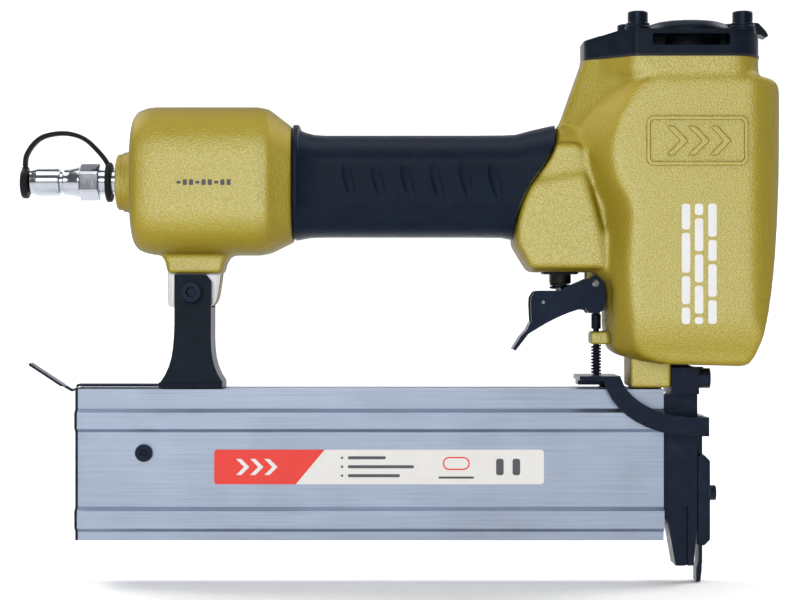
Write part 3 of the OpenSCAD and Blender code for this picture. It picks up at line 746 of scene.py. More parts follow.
def cylinder_housing():
    """Raised housing round the cylinder, with a round front and a soft step at the back."""
    outline = ([(26, 214), (-12, 214)]
               + curve((-14, 214), (-24, 213.6), (-26, 208.5), (-31.5, 199))
               + curve((-32.5, 196.5), (-36.8, 187), (-37.2, 179), (-32.5, 168.5))
               + curve((-31.8, 167), (-27, 161), (-27, 157), (-28, 148))
               + curve((-28.4, 142), (-29.2, 112), (-26, 97), (-10, 93.5))
               + [(22.5, HEAD_UNDER_Z)]
               + curve((25.8, 97.3), (HEAD_FRONT - 2, 120), (HEAD_FRONT - 0.5, 175),
                       (HEAD_FRONT, 203))
               + curve((HEAD_FRONT, 206), (HEAD_FRONT, 211.5), (35, 213.6), (29.5, 213.6),
                       steps=6))
    housing = rounded(side_solid(outline, -FLAT_HALF, FLAT_HALF), 2, 3, 60)
    # the rear flank slopes: thinner and thinner slices reach further back
    slices = []
    for i in range(1, FLANK_SLICES + 1):
        reach = FLANK_REACH * i / FLANK_SLICES
        half = FLAT_HALF - FLANK_DEPTH * i / FLANK_SLICES
        back = []
        for x, z in outline:
            share = min(1, max(0, (-5 - x) / 15))
            limit = -34.2 if z < 128 else -52
            back.append((max(x - reach * share, limit) if x < -5 else x - i * 0.01, z - i * 0.02))
        slices.append(side_solid(back, -half, half))
    housing = joined(*slices, housing)
    modify(housing, "REMESH", mode="VOXEL", voxel_size=sizes().voxel * 0.8, adaptivity=0)
    r = 20
    x, y = HEAD_FRONT - r, HEAD_HALF - r
    plan = (arc(x, y, r, 0, 90, 10) + [(-56, HEAD_HALF), (-56, -HEAD_HALF)]
            + arc(x, -y, r, 270, 360, 10))
    front = []
    for s in (1, -1):
        half = [(s * 21, 88), (s * 23, 95)] + curve((s * 24, 98), (s * 28, 106), (s * 30, 112),
                                                    (s * HEAD_HALF, 126), steps=6)
        half.append((s * HEAD_HALF, 226))
        front += half if s > 0 else half[::-1]
    return cut(housing, plan_solid(plan, 80, 230), section_solid(front, -50, 50),
               operation="INTERSECT")


def head_neck():
    """Body under the exhaust cap: a flat band, a shallow groove, and the body below."""
    band = plan_solid(cap_outline(-0.2), 215.2, SEAM_Z + 6)
    body = cut(plan_solid(cap_outline(-1.9), 140, 218),
               side_solid([(-45.5, 230), (30, 230), (30, 150), (-38, 150), (-60, 190)], -40, 40),
               operation="INTERSECT")
    return band, body


def handle_root():
    """Body between the handle and the head, over the trigger, and the slope behind the cap."""
    wedge = [(-24, 26), (-40, 15.5), (-46.5, 11.5), (-57, 5)]
    slope = cut(plan_solid(wedge + [(x, -y) for x, y in wedge[::-1]], 150, SEAM_Z + 6),
                side_solid([(-56.4, 192), (-56.3, 194), (-54.8, 196.5), (-50.4, 208.5),
                            (-46, 220.5), (-43.4, 228), (-20, 228), (-20, 160), (-50, 160),
                            (-58, 180)], -30, 30),
                operation="INTERSECT")
    outline = ([(-57, 187.6), (-52, 187.4), (-40, 186), (-20, 186), (-20, 104), (-34.5, 106),
                (-35.5, 108), (-35.5, UNDER_Z), (-68.2, UNDER_Z)]
               + [p for p in GRIP_EDGE[::-1] if p[1] < 187])
    shoulders = [side_solid([(-57, top), (-46, top - 1), (-30, 184), (-30, 176), (-58, 176)],
                            -half, half)
                 for half, top in ((14.6, 190), (12.6, 192.2), (10.6, 194.2))]
    return (slope, *shoulders, rounded(side_solid(outline, -16.6, 16.6), 3, 4, 70))


def trigger_side_panel():
    """Two raised steps on both sides over the trigger."""
    grip_side = [(x + 0.6, z) for x, z in GRIP_EDGE[::-1] if 150 < z < 186]
    edge = [(-43.8, 170), (-41, 161), (-38.2, 150), (-36.2, 133.4), (-68.6, 133.4), (-74.8, 145)]
    base = [(-58, 186.8), (-48.2, 186.8), (-46.6, 184), (-45.2, 176)] + edge + grip_side
    panel = [(-61, 171.2), (-46, 174), (-44.8, 172.6)] + edge + [p for p in grip_side if p[1] < 171]
    return (rounded(side_solid(base, -18.9, 18.9), 1.5, 3, 60),
            rounded(side_solid(panel, -20.6, 20.6), 1.5, 3, 60))


def air_chamber():
    """Air chamber: a round-edged box that tapers to the grip."""
    full = 2 * CHAMBER_HALF
    stations = [(0, 46, 48, 16, 0), (0.8, 52, 54.6, 14, 0), (2.8, 56.6, 59.2, 13, 0),
                (6.6, 59, 62, 12, 0), (10, full, 62.8, 12, 0), (53.5, full, 62.8, 12, 0),
                (58, 58, 61, 13, 0), (62.5, 51, 55.4, 14, -0.6), (68, 43.5, 48.6, 15, -1.4)]
    return lofted([(CHAMBER_REAR + x, *rest) for x, *rest in stations], HANDLE_Z + 1.2, 8)


def bracket_boss():
    """Boss under the chamber, flaring into it."""
    left = curve((-229, 141.5), (-224.5, 140.5), (-223, 138), (-222.4, 131.7), steps=6)
    right = curve((-199.1, 131.7), (-198.4, 138), (-196, 140.5), (-191, 141.5), steps=6)
    outline = left + right + [(-191, 150), (-229, 150)]
    return rounded(side_solid(outline, -11, 11), 1.2, 3, 70)


def nose_neck():
    """Block under the head that the nose bolts to, and the lug that guides the safety rod."""
    block = rounded(side_solid([(-25.8, 106), (-25.8, 83.2), (-8.5, 83.2), (-8.5, 106)], -13, 13),
                    1.2, 3, 60)
    under = curve((-32, 101.5), (-28, 101), (-26, 98), (-25.6, 92), steps=6)
    web = side_solid([(-36, 112), (-34, 101.5)] + under + [(-20, 92), (-20, 112)], -9, 9)
    lug = rounded(side_solid([(-41.9, 101.5), (-30, 101.5), (-30, 107), (-41.9, 107)], -7.5, 7.5),
                  0.8, 2, 60)
    return web, lug, block


def drill(obj, axis, at, r, start, end):
    """Cuts a round hole along an axis."""
    return cut(obj, rod(r, start, end, at, axis))


def trigger_ears():
    """Two ears that hold the trigger pin."""
    x, z, r = TRIGGER_PIN.x, TRIGGER_PIN.z, 3.6
    ears = []
    for s in (-1, 1):
        ear = side_solid([(x - r, UNDER_Z + 3), *arc(x, z, r, 180, 360, 12), (x + r, UNDER_Z + 3)],
                         s * 5.2 - 0.9, s * 5.2 + 0.9)
        ears.append(drill(ear, "Y", (x, 0, z), 1.52, -10, 10))
    return joined(*ears)


def soften(obj, rounds, share=1.0):
    """Blends overlapping solids into one skin and softens its corners, as in a casting."""
    modify(obj, "REMESH", mode="VOXEL", voxel_size=sizes().voxel * share, adaptivity=0)
    return modify(obj, "SMOOTH", factor=0.5, iterations=rounds)


def build_casting():
    """The casting in one piece: its solids are blended, softened and bored."""
    casting = soften(joined(*head_neck(), *handle_root(), *trigger_side_panel(),
                            cylinder_housing()), HEAD_SOFTENING)
    rear = soften(joined(air_chamber(), bracket_boss()), CHAMBER_SOFTENING)
    # flat seam that the gasket sits on
    cut(casting, box_solid((-60, -40, SEAM_Z - 0.05), (50, 40, SEAM_Z + TRIM)))
    # way for the driver, cylinder seat and reservoir, in one turned tool
    cut(casting, turned([(0, 78), (DRIVER_WAY_R, 78), (DRIVER_WAY_R, 98), (CYLINDER_SEAT_R, 98),
                         (CYLINDER_SEAT_R, 116), (RESERVOIR_R, 116), (RESERVOIR_R, SEAM_Z + 5),
                         (0, SEAM_Z + 5)], ORIGIN))
    # trigger valve, safety rod, cap screws
    drill(casting, "Z", (VALVE_X, 0, 0), VALVE_BORE_R, UNDER_Z - 2, 151)
    drill(casting, "Z", (VALVE_X, 0, 0), 3.5, 149, 160)
    drill(casting, "Z", (ROD_X, 0, 0), ROD_HOLE_R, 99, 116)
    for x, y in BOLTS:
        drill(casting, "Z", (x, y, 0), 2.1, 204, SEAM_Z + 2)
    # the block over the nose: nose bolts, safety rod, driver
    neck = soften(joined(*nose_neck()), NECK_SOFTENING, 0.6)
    for y in (-9, 9):
        drill(neck, "X", (0, y, NOSE_BOLT_Z), 2.55, -24, 0)
    drill(neck, "Z", (ROD_X, 0, 0), ROD_HOLE_R, 99, 116)
    drill(neck, "Z", ORIGIN, DRIVER_WAY_R, 70, 110)
    core = section_solid(round_box(0, HANDLE_Z, 31, 36, 12), CHAMBER_FRONT - 4, -56)
    casting = joined(trigger_ears(), neck, core, rear, casting)
    return soft_shade(casting, 40)


def bracket_lug():
    """Machined lug for the rear bracket: bare faces, painted rim."""
    outline = ([(-222.4, 134), (-222.4, 119)] + arc(-220.9, 118.9, 1.5, 180, 270, 4)
               + curve((-206, 117.4), (-202.2, 117.4), (-201.4, 120), (-200.6, 125), steps=6)
               + [(-199.4, 134)])
    obj = rounded(side_solid(outline, -6.5, 6.5), 0.4, 2, 60)
    paint(obj, "hammered_enamel")
    paint(obj, "machined_casting")
    for face in obj.data.polygons:
        face.material_index = 1 if abs(face.normal.y) > 0.8 else 0
    return soft_shade(drill(obj, "Y", (LUG_X, 0, LUG_Z), 3.3, -20, 20), 30)


# ---------------------------------------------------------------------------------------------
# Other shapes


def ribbon(points, thick):
    """Outline of a strip of even thickness along a line of 2D points."""
    line = [Vector(p) for p in points]
    left, right = [], []
    for i, here in enumerate(line):
        way = (line[min(i + 1, len(line) - 1)] - line[max(i - 1, 0)]).normalized()
        side = Vector((-way.y, way.x)) * thick / 2
        left.append(tuple(here + side))
        right.append(tuple(here - side))
    return left + right[::-1]


def smooth_line(points, steps=5):
    """Curve through every point of a 2D line."""
    line = [Vector(p) for p in points]
    line = [2 * line[0] - line[1]] + line + [2 * line[-1] - line[-2]]
    out = []
    for a, b, c, d in zip(line, line[1:], line[2:], line[3:]):
        for i in range(steps):
            t = i / steps
            out.append(tuple(0.5 * (2 * b + (c - a) * t + (2 * a - 5 * b + 4 * c - d) * t * t
                                    + (3 * b - a - 3 * c + d) * t ** 3)))
    out.append(tuple(line[-2]))
    return out


def coil(x, radius, wire, z0, z1, turns):
    """Coil spring along Z in the middle plane, with round wire and closed ends."""
    clear()
    bpy.ops.mesh.primitive_circle_add(vertices=10, radius=wire * MM, fill_type="NOTHING",
                                      location=(0, 0, 0))
    obj = bpy.context.active_object
    edit_all(obj)
    bpy.ops.transform.rotate(value=math.pi / 2, orient_axis="X", center_override=(0, 0, 0))
    bpy.ops.transform.translate(value=(radius * MM, 0, 0))
    leave_edit_mode()
    rise = (z1 - z0 - 2 * wire) / turns
    modify(obj, "SCREW", axis="Z", screw_offset=rise * MM, iterations=turns, steps=20,
           render_steps=20, use_smooth_shade=True, use_merge_vertices=True, merge_threshold=1e-7)
    edit_all(obj)
    bpy.ops.transform.translate(value=(x * MM, 0, (z0 + wire) * MM))
    bpy.ops.mesh.select_non_manifold()
    bpy.ops.mesh.fill_holes(sides=0)
    leave_edit_mode()
    return soft_shade(tidy(obj), 50)


def socket_screw(centre, axis, head_r, head_h, shank_r, shank_l, socket, sign=1, chamfer=0.4):
    """Cap screw: centre is under the head, and the head stands on the sign side of the axis."""
    c = Vector(centre)
    base = {"X": c.x, "Y": c.y, "Z": c.z}[axis]
    line = [(0, base - sign * shank_l), (shank_r - 0.3, base - sign * shank_l),
            (shank_r, base - sign * (shank_l - 0.3)), (shank_r, base), (head_r - 0.15, base),
            (head_r, base + sign * 0.15), (head_r, base + sign * (head_h - chamfer)),
            (head_r - chamfer * 0.35, base + sign * (head_h - chamfer * 0.3)),
            (head_r - chamfer, base + sign * head_h), (0, base + sign * head_h)]
    screw = turned(line, c, axis, 48)
    spot = c.copy()
    setattr(spot, axis.lower(), base + sign * head_h)
    cut(screw, hexagon_tool(spot, socket, head_h * 1.2, axis))
    return soft_shade(screw, 25)


# ---------------------------------------------------------------------------------------------
# Operators


class NAILER_OT_casting(bpy.types.Operator):
    """Builds the casting with its chamber, boss and lug"""
    bl_idname = "nailer.casting"
    bl_label = "Casting"

    def execute(self, context):
        piece(build_casting(), "casting", "hammered_enamel", "root", "casting_paint",
              "body_casting")
        piece(bracket_lug(), "bracket_lug", None, "root", "casting_paint")
        return {"FINISHED"}


class NAILER_OT_emblems(bpy.types.Operator):
    """Adds the raised plaque, the white print and the row of dashes"""
    bl_idname = "nailer.emblems"
    bl_label = "Plaque and prints"

    def execute(self, context):
        face = FLAT_HALF - 0.3
        # raised frame with three chevrons inside, plain shapes
        frame_mid = (0.1, 186.6)
        outer = side_solid(round_box(*frame_mid, 42.2, 20.7, 2.8), -HEAD_HALF + 0.01, -face)
        inner = side_solid(round_box(*frame_mid, 38.8, 17.3, 1.6), -FLAT_HALF - 3, -face + 3)
        parts = [cut(outer, inner)]
        for x in (-13, -4, 5):
            parts.append(side_solid(chevron(x, frame_mid[1], 6.1, 6, 3.4), -HEAD_HALF + 0.01,
                                    -face))
        plaque = joined(*parts)
        soften(plaque, 3, 0.26)
        other = copied(plaque, mirror=1)
        piece(soft_shade(joined(other, plaque), 40), "plaque", "hammered_enamel", "root",
              "casting_paint")
        # print on the side of the head: three broken stripes
        stripes = []
        for x, gaps in ((-6.4, (118, 131, 149)), (-1, (114, 127, 140, 155)),
                        (4.6, (121, 136, 146))):
            marks = [109.7, *gaps, 161.1]
            for a, b in zip(marks, marks[1:]):
                outline = round_box(x + 1.75, (a + b) / 2, 3.5, b - a - 1.4, 1.1, 4)
                stripes.append(side_solid(outline, -FLAT_HALF - 0.06, -face))
        piece(joined(*stripes), "side_print", "print_white", "root", "casting_paint")
        dashes = []
        for i in range(9):
            x = -216.3 + i * 2.6
            dashes.append(side_solid(round_box(x + 1, 169.3, 1.7, 2.4 if i % 3 else 1.2, 0.3, 2),
                                     -CHAMBER_HALF - 0.05, -CHAMBER_HALF + 0.5))
        piece(joined(*dashes), "chamber_marks", "print_grey", "root", "casting_paint")
        return {"FINISHED"}


class NAILER_OT_grip(bpy.types.Operator):
    """Builds the rubber grip with its flange and grooves"""
    bl_idname = "nailer.grip"
    bl_label = "Grip"

    def execute(self, context):
        stations = [(CHAMBER_FRONT + 1, 41, 47.6, 15, 0.9), (-166, 40, 46.6, 15, 0.7),
                    (-163.4, 38.6, 45, 15, 0.4), (-160, 37.5, 43.8, 15, 0.1),
                    (-155, 37, 43.4, 15, 0), (-92, 37, 43.4, 15, 0), (-80, 37.4, 43.6, 15, 0),
                    (-74, 38, 45, 15, -0.4), (-68, 38.8, 47.6, 15, 0), (-62, 39.4, 49.6, 15, 0.4),
                    (-50, 39.6, 54, 15, 0.8)]
        grip = lofted(stations, HANDLE_Z, 10)
        edge = [(x - 0.2, z) for x, z in GRIP_EDGE]
        cut(grip, side_solid([(-40, 230), (edge[0][0] + 0.4, 230)] + edge
                             + [(-76, 120), (-40, 120)], -30, 30))
        # shallow slanted grooves under the palm
        for i in range(6):
            for s in (-1, 1):
                clear()
                bpy.ops.mesh.primitive_uv_sphere_add(segments=20, ring_count=12, radius=MM,
                                                     location=(0, 0, 0))
                groove = bpy.context.active_object
                edit_all(groove)
                bpy.ops.transform.resize(value=(2.8, 1.3, 8.8))
                bpy.ops.transform.rotate(value=math.radians(14), orient_axis="Y",
                                         center_override=(0, 0, 0))
                bpy.ops.transform.translate(value=((-145 + 12.3 * i) * MM, s * 19.15 * MM,
                                                   (HANDLE_Z + 1.2) * MM))
                cut(grip, groove)
        flange = rounded(section_solid(round_box(0, HANDLE_Z + 1.1, 42, 48.8, 16, 10),
                                       CHAMBER_FRONT, CHAMBER_FRONT + 2.8), 0.9, 4, 60)
        grip = joined(flange, grip)
        piece(soft_shade(grip, 32), "grip", "moulded_rubber", "root", "grip_rubber", "rubber_grip")
        return {"FINISHED"}


class NAILER_OT_air_inlet(bpy.types.Operator):
    """Builds the rear cap, the air plug, its dust cap and the strap"""
    bl_idname = "nailer.air_inlet"
    bl_label = "Air inlet"

    def execute(self, context):
        axis = (0, 0, PLUG_Z)
        r = CHAMBER_REAR
        cap = turned([(5.5, -231), (5.5, -244.4), (10.6, -244.7), (11.5, -244.5), (11.9, -244),
                      (12.1, -242.2), (12.7, -241.9), (12.9, -240.4), (13.4, -239.6),
                      (13.9, -237.4), (14, r + 0.6), (10.9, r + 0.6), (10.9, -231)], axis, "X")
        piece(soft_shade(cap, 35), "rear_end_cap", "hammered_enamel", "root", "casting_paint",
              "rear_end_cap")
        plug = turned([(2.6, -236), (2.6, -281.6), (2.9, -282.3), (4.5, -282.5), (4.9, -282.2),
                       (5.2, -281.8), (5.45, -280.6), (5.8, -279.4), (6, -278.8), (6, -270),
                       (5.8, -269.5), (4.75, -269), (4.7, -268.5), (4.75, -267.9), (5.4, -267.6),
                       (5.6, -267.3), (5.62, -265.4), (5.9, -264.6), (6.5, -261.4), (6.5, -260.6),
                       (5.4, -260.3), (5.4, -252), (5.4, -236)], axis, "X")
        corner = 7 / HEX_RATIO
        hexagon = section_solid([(corner * math.sin(math.radians(60 * i)),
                                  PLUG_Z + corner * math.cos(math.radians(60 * i)))
                                 for i in range(6)], -260.7, -252.2)
        plug = joined(rounded(hexagon, 0.6, 3, 30), plug)
        piece(soft_shade(plug, 30), "air_plug", "nickel_chrome", "root", "chrome_steel", "air_plug")
        dust = turned([(0, -285.9), (5.2, -286), (6.1, -285.7), (6.5, -285.1), (6.6, -284.2),
                       (6.55, -283.4), (6.2, -283), (0, -282.85)], (0, 0, PLUG_Z - 0.4), "X", 48)
        tab = rounded(box_solid((-285.6, -2, PLUG_Z + 4), (-283, 2, 177.6)), 0.4, 2)
        piece(soft_shade(joined(tab, dust), 40), "dust_cap", "strap_elastomer", "dust_cap",
              "strap_rubber", "dust_cap")
        line = smooth_line([(-284.5, 177.6), (-283.9, 182.4), (-280.8, 187.4), (-276.2, 190.7),
                            (-268.9, 192), (-262.8, 191.2), (-257.8, 188.8), (-253.2, 184.4),
                            (-250.1, 180.6), (-248.7, 178)])
        strap = rounded(side_solid(ribbon(line, 1.9), -2, 2), 0.55, 3, 50)
        ring = turned([(5.5, -249.3), (8, -249.4), (8.5, -249), (8.6, -248.2), (8.5, -247.4),
                       (8, -247), (5.5, -247.1), (5.5, -249.3)], axis, "X", 48)
        piece(soft_shade(joined(ring, strap), 40), "cap_strap", "strap_elastomer", "root",
              "strap_rubber", "cap_strap")
        return {"FINISHED"}


class NAILER_OT_exhaust(bpy.types.Operator):
    """Builds the exhaust cap, its deflector and the screws that hold them"""
    bl_idname = "nailer.exhaust"
    bl_label = "Exhaust cap"

    def execute(self, context):
        skirt = plan_solid(cap_outline(-0.3), CAP_BASE_Z, 231.8)
        crown = plan_solid(cap_outline(-1.3), 226, 233.5)
        cut(skirt, crown, operation="UNION")
        # the rear lobe slopes down
        cut(skirt, side_solid([(-60, 227), (-46, 230.3), (-28, 234.2), (-28, 250), (-60, 250)],
                              -50, 50))
        for x, y in BOLTS:
            boss = turned([(0, CAP_BASE_Z), (5.3, CAP_BASE_Z), (5.3, 235), (4.8, 235.5),
                           (0, 235.5)], (x, y, 0), "Z", 32)
            cut(boss, plan_solid(cap_outline(-0.4), CAP_BASE_Z, 240), operation="INTERSECT")
            cut(skirt, boss, operation="UNION")
        slot = side_solid(round_box(-2.2, 229, 32.4, 5, 1.2, 4), -40, 40)
        cut(skirt, cut(slot, box_solid((-60, -17, 220), (40, 17, 240))))
        cut(skirt, turned([(8, 216), (20.6, 216), (20.6, 231.2), (8, 231.2)], ORIGIN),
            rod(3, 210, 240))
        cut(skirt, *[rod(2.65, 210, 240, (x, y, 0), steps=24) for x, y in BOLTS])
        hub = turned([(3, 216), (7.9, 216), (7.9, 231.5), (3, 231.5)], ORIGIN)
        drum = tube(15.4, 17.2, 225, 231.8)
        rounded(skirt, 0.55, 3, 38)
        piece(soft_shade(joined(hub, drum, skirt), 40), "exhaust_cap", "epoxy_black", "root",
              "black_paint", "exhaust_cap")
        dome = turned([(3, 233.8), (18.2, 233.8), (18.6, 234.2), (18.6, 235.4), (18.3, 236.1),
                       (17.9, 237.2), (16.6, 238.2), (14, 239), (10, 239.4), (6, 239.5),
                       (5.3, 239.3), (5.1, 238.8), (5, 236.9), (3, 236.9)], ORIGIN)
        lip = rounded(side_solid([(10, 234), (30.9, 233.9), (32.3, 233), (33.6, 232.8),
                                  (34.3, 233.6), (33.2, 235.6), (30, 239), (24, 239.4),
                                  (12, 238)], -4.5, 4.5), 0.6, 3)
        piece(soft_shade(joined(lip, dome), 35), "deflector", "epoxy_black", "deflector",
              "black_paint", "deflector")
        screws = [socket_screw((x, y, 236.5), "Z", 4.25, 4.95, 2.05, 30, 4, chamfer=0.6)
                  for x, y in BOLTS]
        washers = [turned([(2.1, 235.5), (4.9, 235.5), (5, 235.7), (5, 236.3), (4.9, 236.5),
                           (2.1, 236.5), (2.1, 235.5)], (x, y, 0), "Z", 40) for x, y in BOLTS]
        piece(soft_shade(joined(*washers, *screws), 30), "cap_bolts", "black_oxide_steel", "root",
              "black_steel", "cap_bolts")
        screw = socket_screw((0, 0, 236.95), "Z", 4.6, 2.3, 2.95, 16, 3)
        piece(screw, "deflector_screw", "black_oxide_steel", "root", "black_steel",
              "deflector_screw")
        return {"FINISHED"}


# Pieces whose frame node already has the right outline, given rounded edges:
# node, finish, body, slot, edge radius in mm
EASED = {
    "trigger": [
        ("trigger", "powder_coat_trigger", "trigger", "trigger_black", 0.6),
        ("trigger_lever", "black_oxide_steel", "trigger_lever", "zinc_steel", 0.3),
        ("trigger_valve_body", "blackened_brass", "root", "valve_metal", 0.3),
        ("valve_plate", "black_oxide_steel", "root", "black_steel", 0.25),
    ],
    "nose": [
        ("driver_guide", "black_oxide_steel", "root", "black_steel", 0.5),
        ("nose_plate", "black_oxide_steel", "root", "black_steel", 0.5),
        ("guide_cover", "black_oxide_steel", "root", "black_steel", 0.5),
        ("safety_yoke", "black_oxide_steel", "safety", "black_steel", 0.45),
        ("contact_tip", "black_oxide_steel", "safety", "black_steel", 0.3),
    ],
    "magazine": [
        ("magazine_rail", "anodised_extrusion", "root", "extruded_aluminium", 0.45),
        ("magazine_cover", "anodised_extrusion", "magazine_slide", "extruded_aluminium", 0.45),
        ("end_plate", "black_oxide_steel", "magazine_slide", "black_steel", 0.25),
        ("rear_bracket", "epoxy_black", "root", "black_paint", 0.7),
        ("latch_spring", "black_oxide_steel", "latch", "black_steel", 0.25),
        ("bracket_nut", "black_oxide_steel", "root", "zinc_steel", 0.3),
    ],
}


# (top of a ridge, height of its fold), and how far the top leans in, in mm
RIDGES = [(74.3, 69.6), (32.6, 27.9)]
RIDGE_LEAN = 1.1


def lean_ridges(obj):
    """Bends the flat ridges of a magazine half so that their upper part leans in."""
    for top, fold in RIDGES:
        edit_all(obj)
        bpy.ops.mesh.bisect(plane_co=(0, 0, fold * MM), plane_no=(0, 0, 1))
        leave_edit_mode()
        for vert in obj.data.vertices:
            place = vert.co / MM
            vert.select = abs(place.z - top) < 0.3 and abs(place.y) > RIDGE_HALF - 0.3
        for part in (*obj.data.polygons, *obj.data.edges):
            part.select = False
        side = 1 if max(v.co.y for v in obj.data.vertices) > 0.009 else -1
        bpy.ops.object.mode_set(mode="EDIT")
        bpy.ops.mesh.select_mode(type="VERT")
        bpy.ops.transform.translate(value=(0, -side * RIDGE_LEAN * MM, 0))
        leave_edit_mode()


def open_seam(obj):
    """Opens the lower end of the seam between the guide and the nose plate."""
    cut(obj, box_solid((-2, -20, 4), (-0.7, -6.4, 32.8)), box_solid((-2, 6.4, 4), (-0.7, 20, 32.8)))


# what is done to a copied node before its edges are rounded
SHAPES = {"magazine_rail": lean_ridges, "magazine_cover": lean_ridges, "driver_guide": open_seam}


def ease(group):
    """Makes the eased pieces of a group."""
    for node, finish, body, slot, radius in EASED[group]:
        piece(from_frame(node, radius, shape=SHAPES.get(node)), node, finish, body, slot, node)


class NAILER_OT_trigger(bpy.types.Operator):
    """Builds the trigger, its lever, pins and valve"""
    bl_idname = "nailer.trigger"
    bl_label = "Trigger group"

    def execute(self, context):
        ease("trigger")
        for name, at, r, half, finish, body, slot in (
                ("trigger_pin", TRIGGER_PIN, 1.5, 9.6, "nickel_chrome", "root", "chrome_steel"),
                ("lever_pin", LEVER_PIN, 1.0, 9.2, "ground_steel", "trigger", "bright_steel")):
            pin = turned([(0, -half), (r - 0.35, -half), (r, -half + 0.35), (r, half - 0.35),
                          (r - 0.35, half), (0, half)], (at.x, 0, at.z), "Y", 32)
            piece(soft_shade(pin, 30), name, finish, body, slot, name)
        piece(coil(VALVE_X, 4.1, 0.5, 124.7, 131, 4), "trigger_return_spring",
              "black_oxide_steel", "root", "bright_steel")
        return {"FINISHED"}


class NAILER_OT_safety(bpy.types.Operator):
    """Builds the nose, the safety yoke, rod and spring"""
    bl_idname = "nailer.safety"
    bl_label = "Nose and safety"

    def execute(self, context):
        ease("nose")
        bar = turned([(0, 84), (1.3, 84), (1.3, 108), (1.9, 108.1), (2.1, 108.4), (2.1, 114.2),
                      (1.6, 114.7), (0, 114.8)], (ROD_X, 0, 0), "Z", 32)
        piece(soft_shade(bar, 30), "safety_rod", "black_oxide_steel", "safety", "zinc_steel",
              "safety_rod")
        piece(coil(ROD_X, 1.85, 0.42, 88.4, 101.3, 9), "safety_spring", "black_oxide_steel",
              "root", "bright_steel", "safety_spring")
        return {"FINISHED"}


class NAILER_OT_magazine(bpy.types.Operator):
    """Builds the magazine, its end plate, bracket and latch"""
    bl_idname = "nailer.magazine"
    bl_label = "Magazine"

    def execute(self, context):
        ease("magazine")
        return {"FINISHED"}


class NAILER_OT_label(bpy.types.Operator):
    """Builds the printed label with plain bars in place of words"""
    bl_idname = "nailer.label"
    bl_label = "Label"

    def execute(self, context):
        a, b = low("label"), high("label")
        mid_x, mid_z = (a.x + b.x) / 2, (a.z + b.z) / 2
        back, front = b.y, a.y
        edge = round_box(mid_x, mid_z, b.x - a.x, b.z - a.z, 1.3)
        film = side_solid(edge, front + 0.04, back)
        paint(film, "film_white")
        red = side_solid(edge, front + 0.02, back)
        cut(red, side_solid([(-154.5, b.z + 1), (-168.5, a.z - 1), (b.x + 5, a.z - 1),
                             (b.x + 5, b.z + 1)], front - 1, back + 1))
        paint(red, "film_red")
        marks = joined(*[side_solid(chevron(x, mid_z, 3.4, 3.4, 2.2), front, back)
                         for x in (-193, -187, -181)])
        paint(marks, "print_white")
        grey = []
        for x, z, w, h in ((-148, 53.4, 1, 1), (-137.5, 53.4, 16, 1.3), (-148, 49.6, 1, 1),
                           (-131.5, 49.6, 28, 1.3), (-148, 45.8, 1, 1), (-134.5, 45.8, 22, 1.3),
                           (-99.5, 45, 15, 0.9), (-81, 49.5, 3.2, 7), (-74, 49.5, 3.2, 7)):
            grey.append(side_solid(round_box(x, z, w, h, min(w, h) * 0.3, 3), front, back))
        inks = joined(*grey)
        paint(inks, "print_grey")
        ring = side_solid(round_box(-99.5, 51, 11.5, 5.6, 2.75, 6), front, back)
        cut(ring, side_solid(round_box(-99.5, 51, 10.3, 4.4, 2.15, 6), front - 1, back + 1))
        paint(ring, "film_red")
        piece(joined(inks, marks, ring, red, film), "label", None, "magazine_slide", "label_film",
              "label")
        return {"FINISHED"}


class NAILER_OT_screws(bpy.types.Operator):
    """Builds the screws of the bracket, nose and magazine"""
    bl_idname = "nailer.screws"
    bl_label = "Screws"

    def execute(self, context):
        for node, body in (("bracket_screw", "root"), ("nose_bolts", "root"),
                           ("cover_screw", "root"), ("stop_screw", "magazine_slide")):
            piece(from_frame(node, 0.25), node, "black_oxide_steel", body, "black_steel", node)
        return {"FINISHED"}


class NAILER_OT_stage(bpy.types.Operator):
    """Makes the floor, the lights and the camera"""
    bl_idname = "nailer.stage"
    bl_label = "Stage"

    def execute(self, context):
        scene = context.scene
        centre = Vector((-123.4, 0, 120.4))
        # floor and backdrop in one sheet
        sheet = trace([(0, -3000, -0.5), (0, 900, -0.5)]
                      + [(0, 900 + y, z) for y, z in arc(0, 599.5, 600, -90, 0, 12)]
                      + [(0, 1500, 3000)])
        bpy.ops.mesh.select_all(action="SELECT")
        bpy.ops.mesh.extrude_region_move(TRANSFORM_OT_translate={"value": (8, 0, 0)})
        bpy.ops.mesh.select_all(action="SELECT")
        bpy.ops.transform.translate(value=(-4, 0, 0))
        soft_shade(sheet, 60)
        sheet.name = "studio_sheet"
        paint(sheet, "studio_paper")
        # camera
        camera_data = bpy.data.cameras.new("camera")
        camera_data.sensor_width = 36
        distance = sizes().camera_distance / MM
        camera_data.lens = camera_data.sensor_width * distance / SEEN_WIDTH
        camera = bpy.data.objects.new("camera", camera_data)
        camera.location = (centre + Vector((0, -distance, 0))) * MM
        camera.rotation_euler = (math.pi / 2, 0, 0)
        scene.collection.objects.link(camera)
        scene.camera = camera
        for name, place, size, power in LIGHTS:
            data = bpy.data.lights.new(name, "AREA")
            data.shape = "RECTANGLE"
            data.size, data.size_y = size
            data.energy = power
            lamp = bpy.data.objects.new(name, data)
            lamp.location = place
            lamp.rotation_euler = (centre * MM - Vector(place)).to_track_quat("-Z", "Y").to_euler()
            scene.collection.objects.link(lamp)
        world = bpy.data.worlds.new("studio_world")
        world.use_nodes = True
        world.node_tree.nodes["Background"].inputs["Color"].default_value = (1, 1, 1, 1)
        world.node_tree.nodes["Background"].inputs["Strength"].default_value = 0.14
        scene.world = world
        scene.view_settings.view_transform = "Standard"
        return {"FINISHED"}


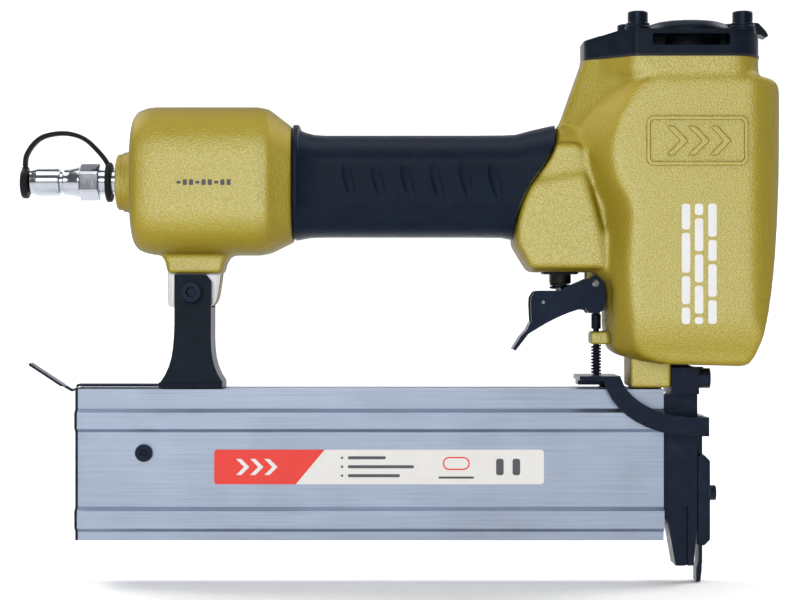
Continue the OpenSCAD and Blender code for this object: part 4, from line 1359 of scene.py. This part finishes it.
# what the camera takes in across the middle plane, in mm
SEEN_WIDTH = 344
# lights: name, place in metres, size in metres, watts
LIGHTS = [
    ("front_softbox", (-0.45, -2.3, 0.9), (1.3, 0.9), 18),
    ("top_softbox", (-0.1, -0.2, 1.5), (1.4, 1.0), 11),
    ("side_softbox", (-1.7, -0.8, 0.8), (0.8, 0.8), 1.2),
    ("backdrop_left", (-1.6, 0.8, 1.6), (1.0, 1.0), 32),
    ("backdrop_right", (1.6, 0.8, 1.6), (1.0, 1.0), 32),
]


class NAILER_PT_panel(bpy.types.Panel):
    """Lists the tool's operators"""
    bl_label = "Pneumatic brad nailer"
    bl_space_type = "VIEW_3D"
    bl_region_type = "UI"
    bl_category = "Nailer"

    def draw(self, context):
        for step in STEPS:
            self.layout.operator(step)


OPERATORS = [NAILER_OT_stage, NAILER_OT_casting, NAILER_OT_emblems, NAILER_OT_grip,
             NAILER_OT_air_inlet, NAILER_OT_exhaust, NAILER_OT_trigger, NAILER_OT_safety,
             NAILER_OT_magazine, NAILER_OT_label, NAILER_OT_screws]
CLASSES = [NailerColours, NailerSizes, *OPERATORS, NAILER_PT_panel]
STEPS = [operator.bl_idname for operator in OPERATORS]


def register():
    """Registers the classes and their settings."""
    for cls in CLASSES:
        bpy.utils.register_class(cls)
    bpy.types.Scene.nailer_colours = bpy.props.PointerProperty(type=NailerColours)
    bpy.types.Scene.nailer_sizes = bpy.props.PointerProperty(type=NailerSizes)


def unregister():
    """Removes the classes and their settings."""
    del bpy.types.Scene.nailer_sizes
    del bpy.types.Scene.nailer_colours
    for cls in reversed(CLASSES):
        bpy.utils.unregister_class(cls)


def run_step(step):
    """Calls an operator by its name."""
    group, name = step.split(".")
    getattr(getattr(bpy.ops, group), name)()


def main():
    """Registers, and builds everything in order."""
    register()
    make_materials()
    for finish, nodes in NODE_FINISH.items():
        for node in nodes:
            mesh = frame["nodes"][node].data
            mesh.materials.clear()
            mesh.materials.append(MATERIALS[finish])
    for step in STEPS:
        run_step(step)


if __name__ == "__main__":
    main()
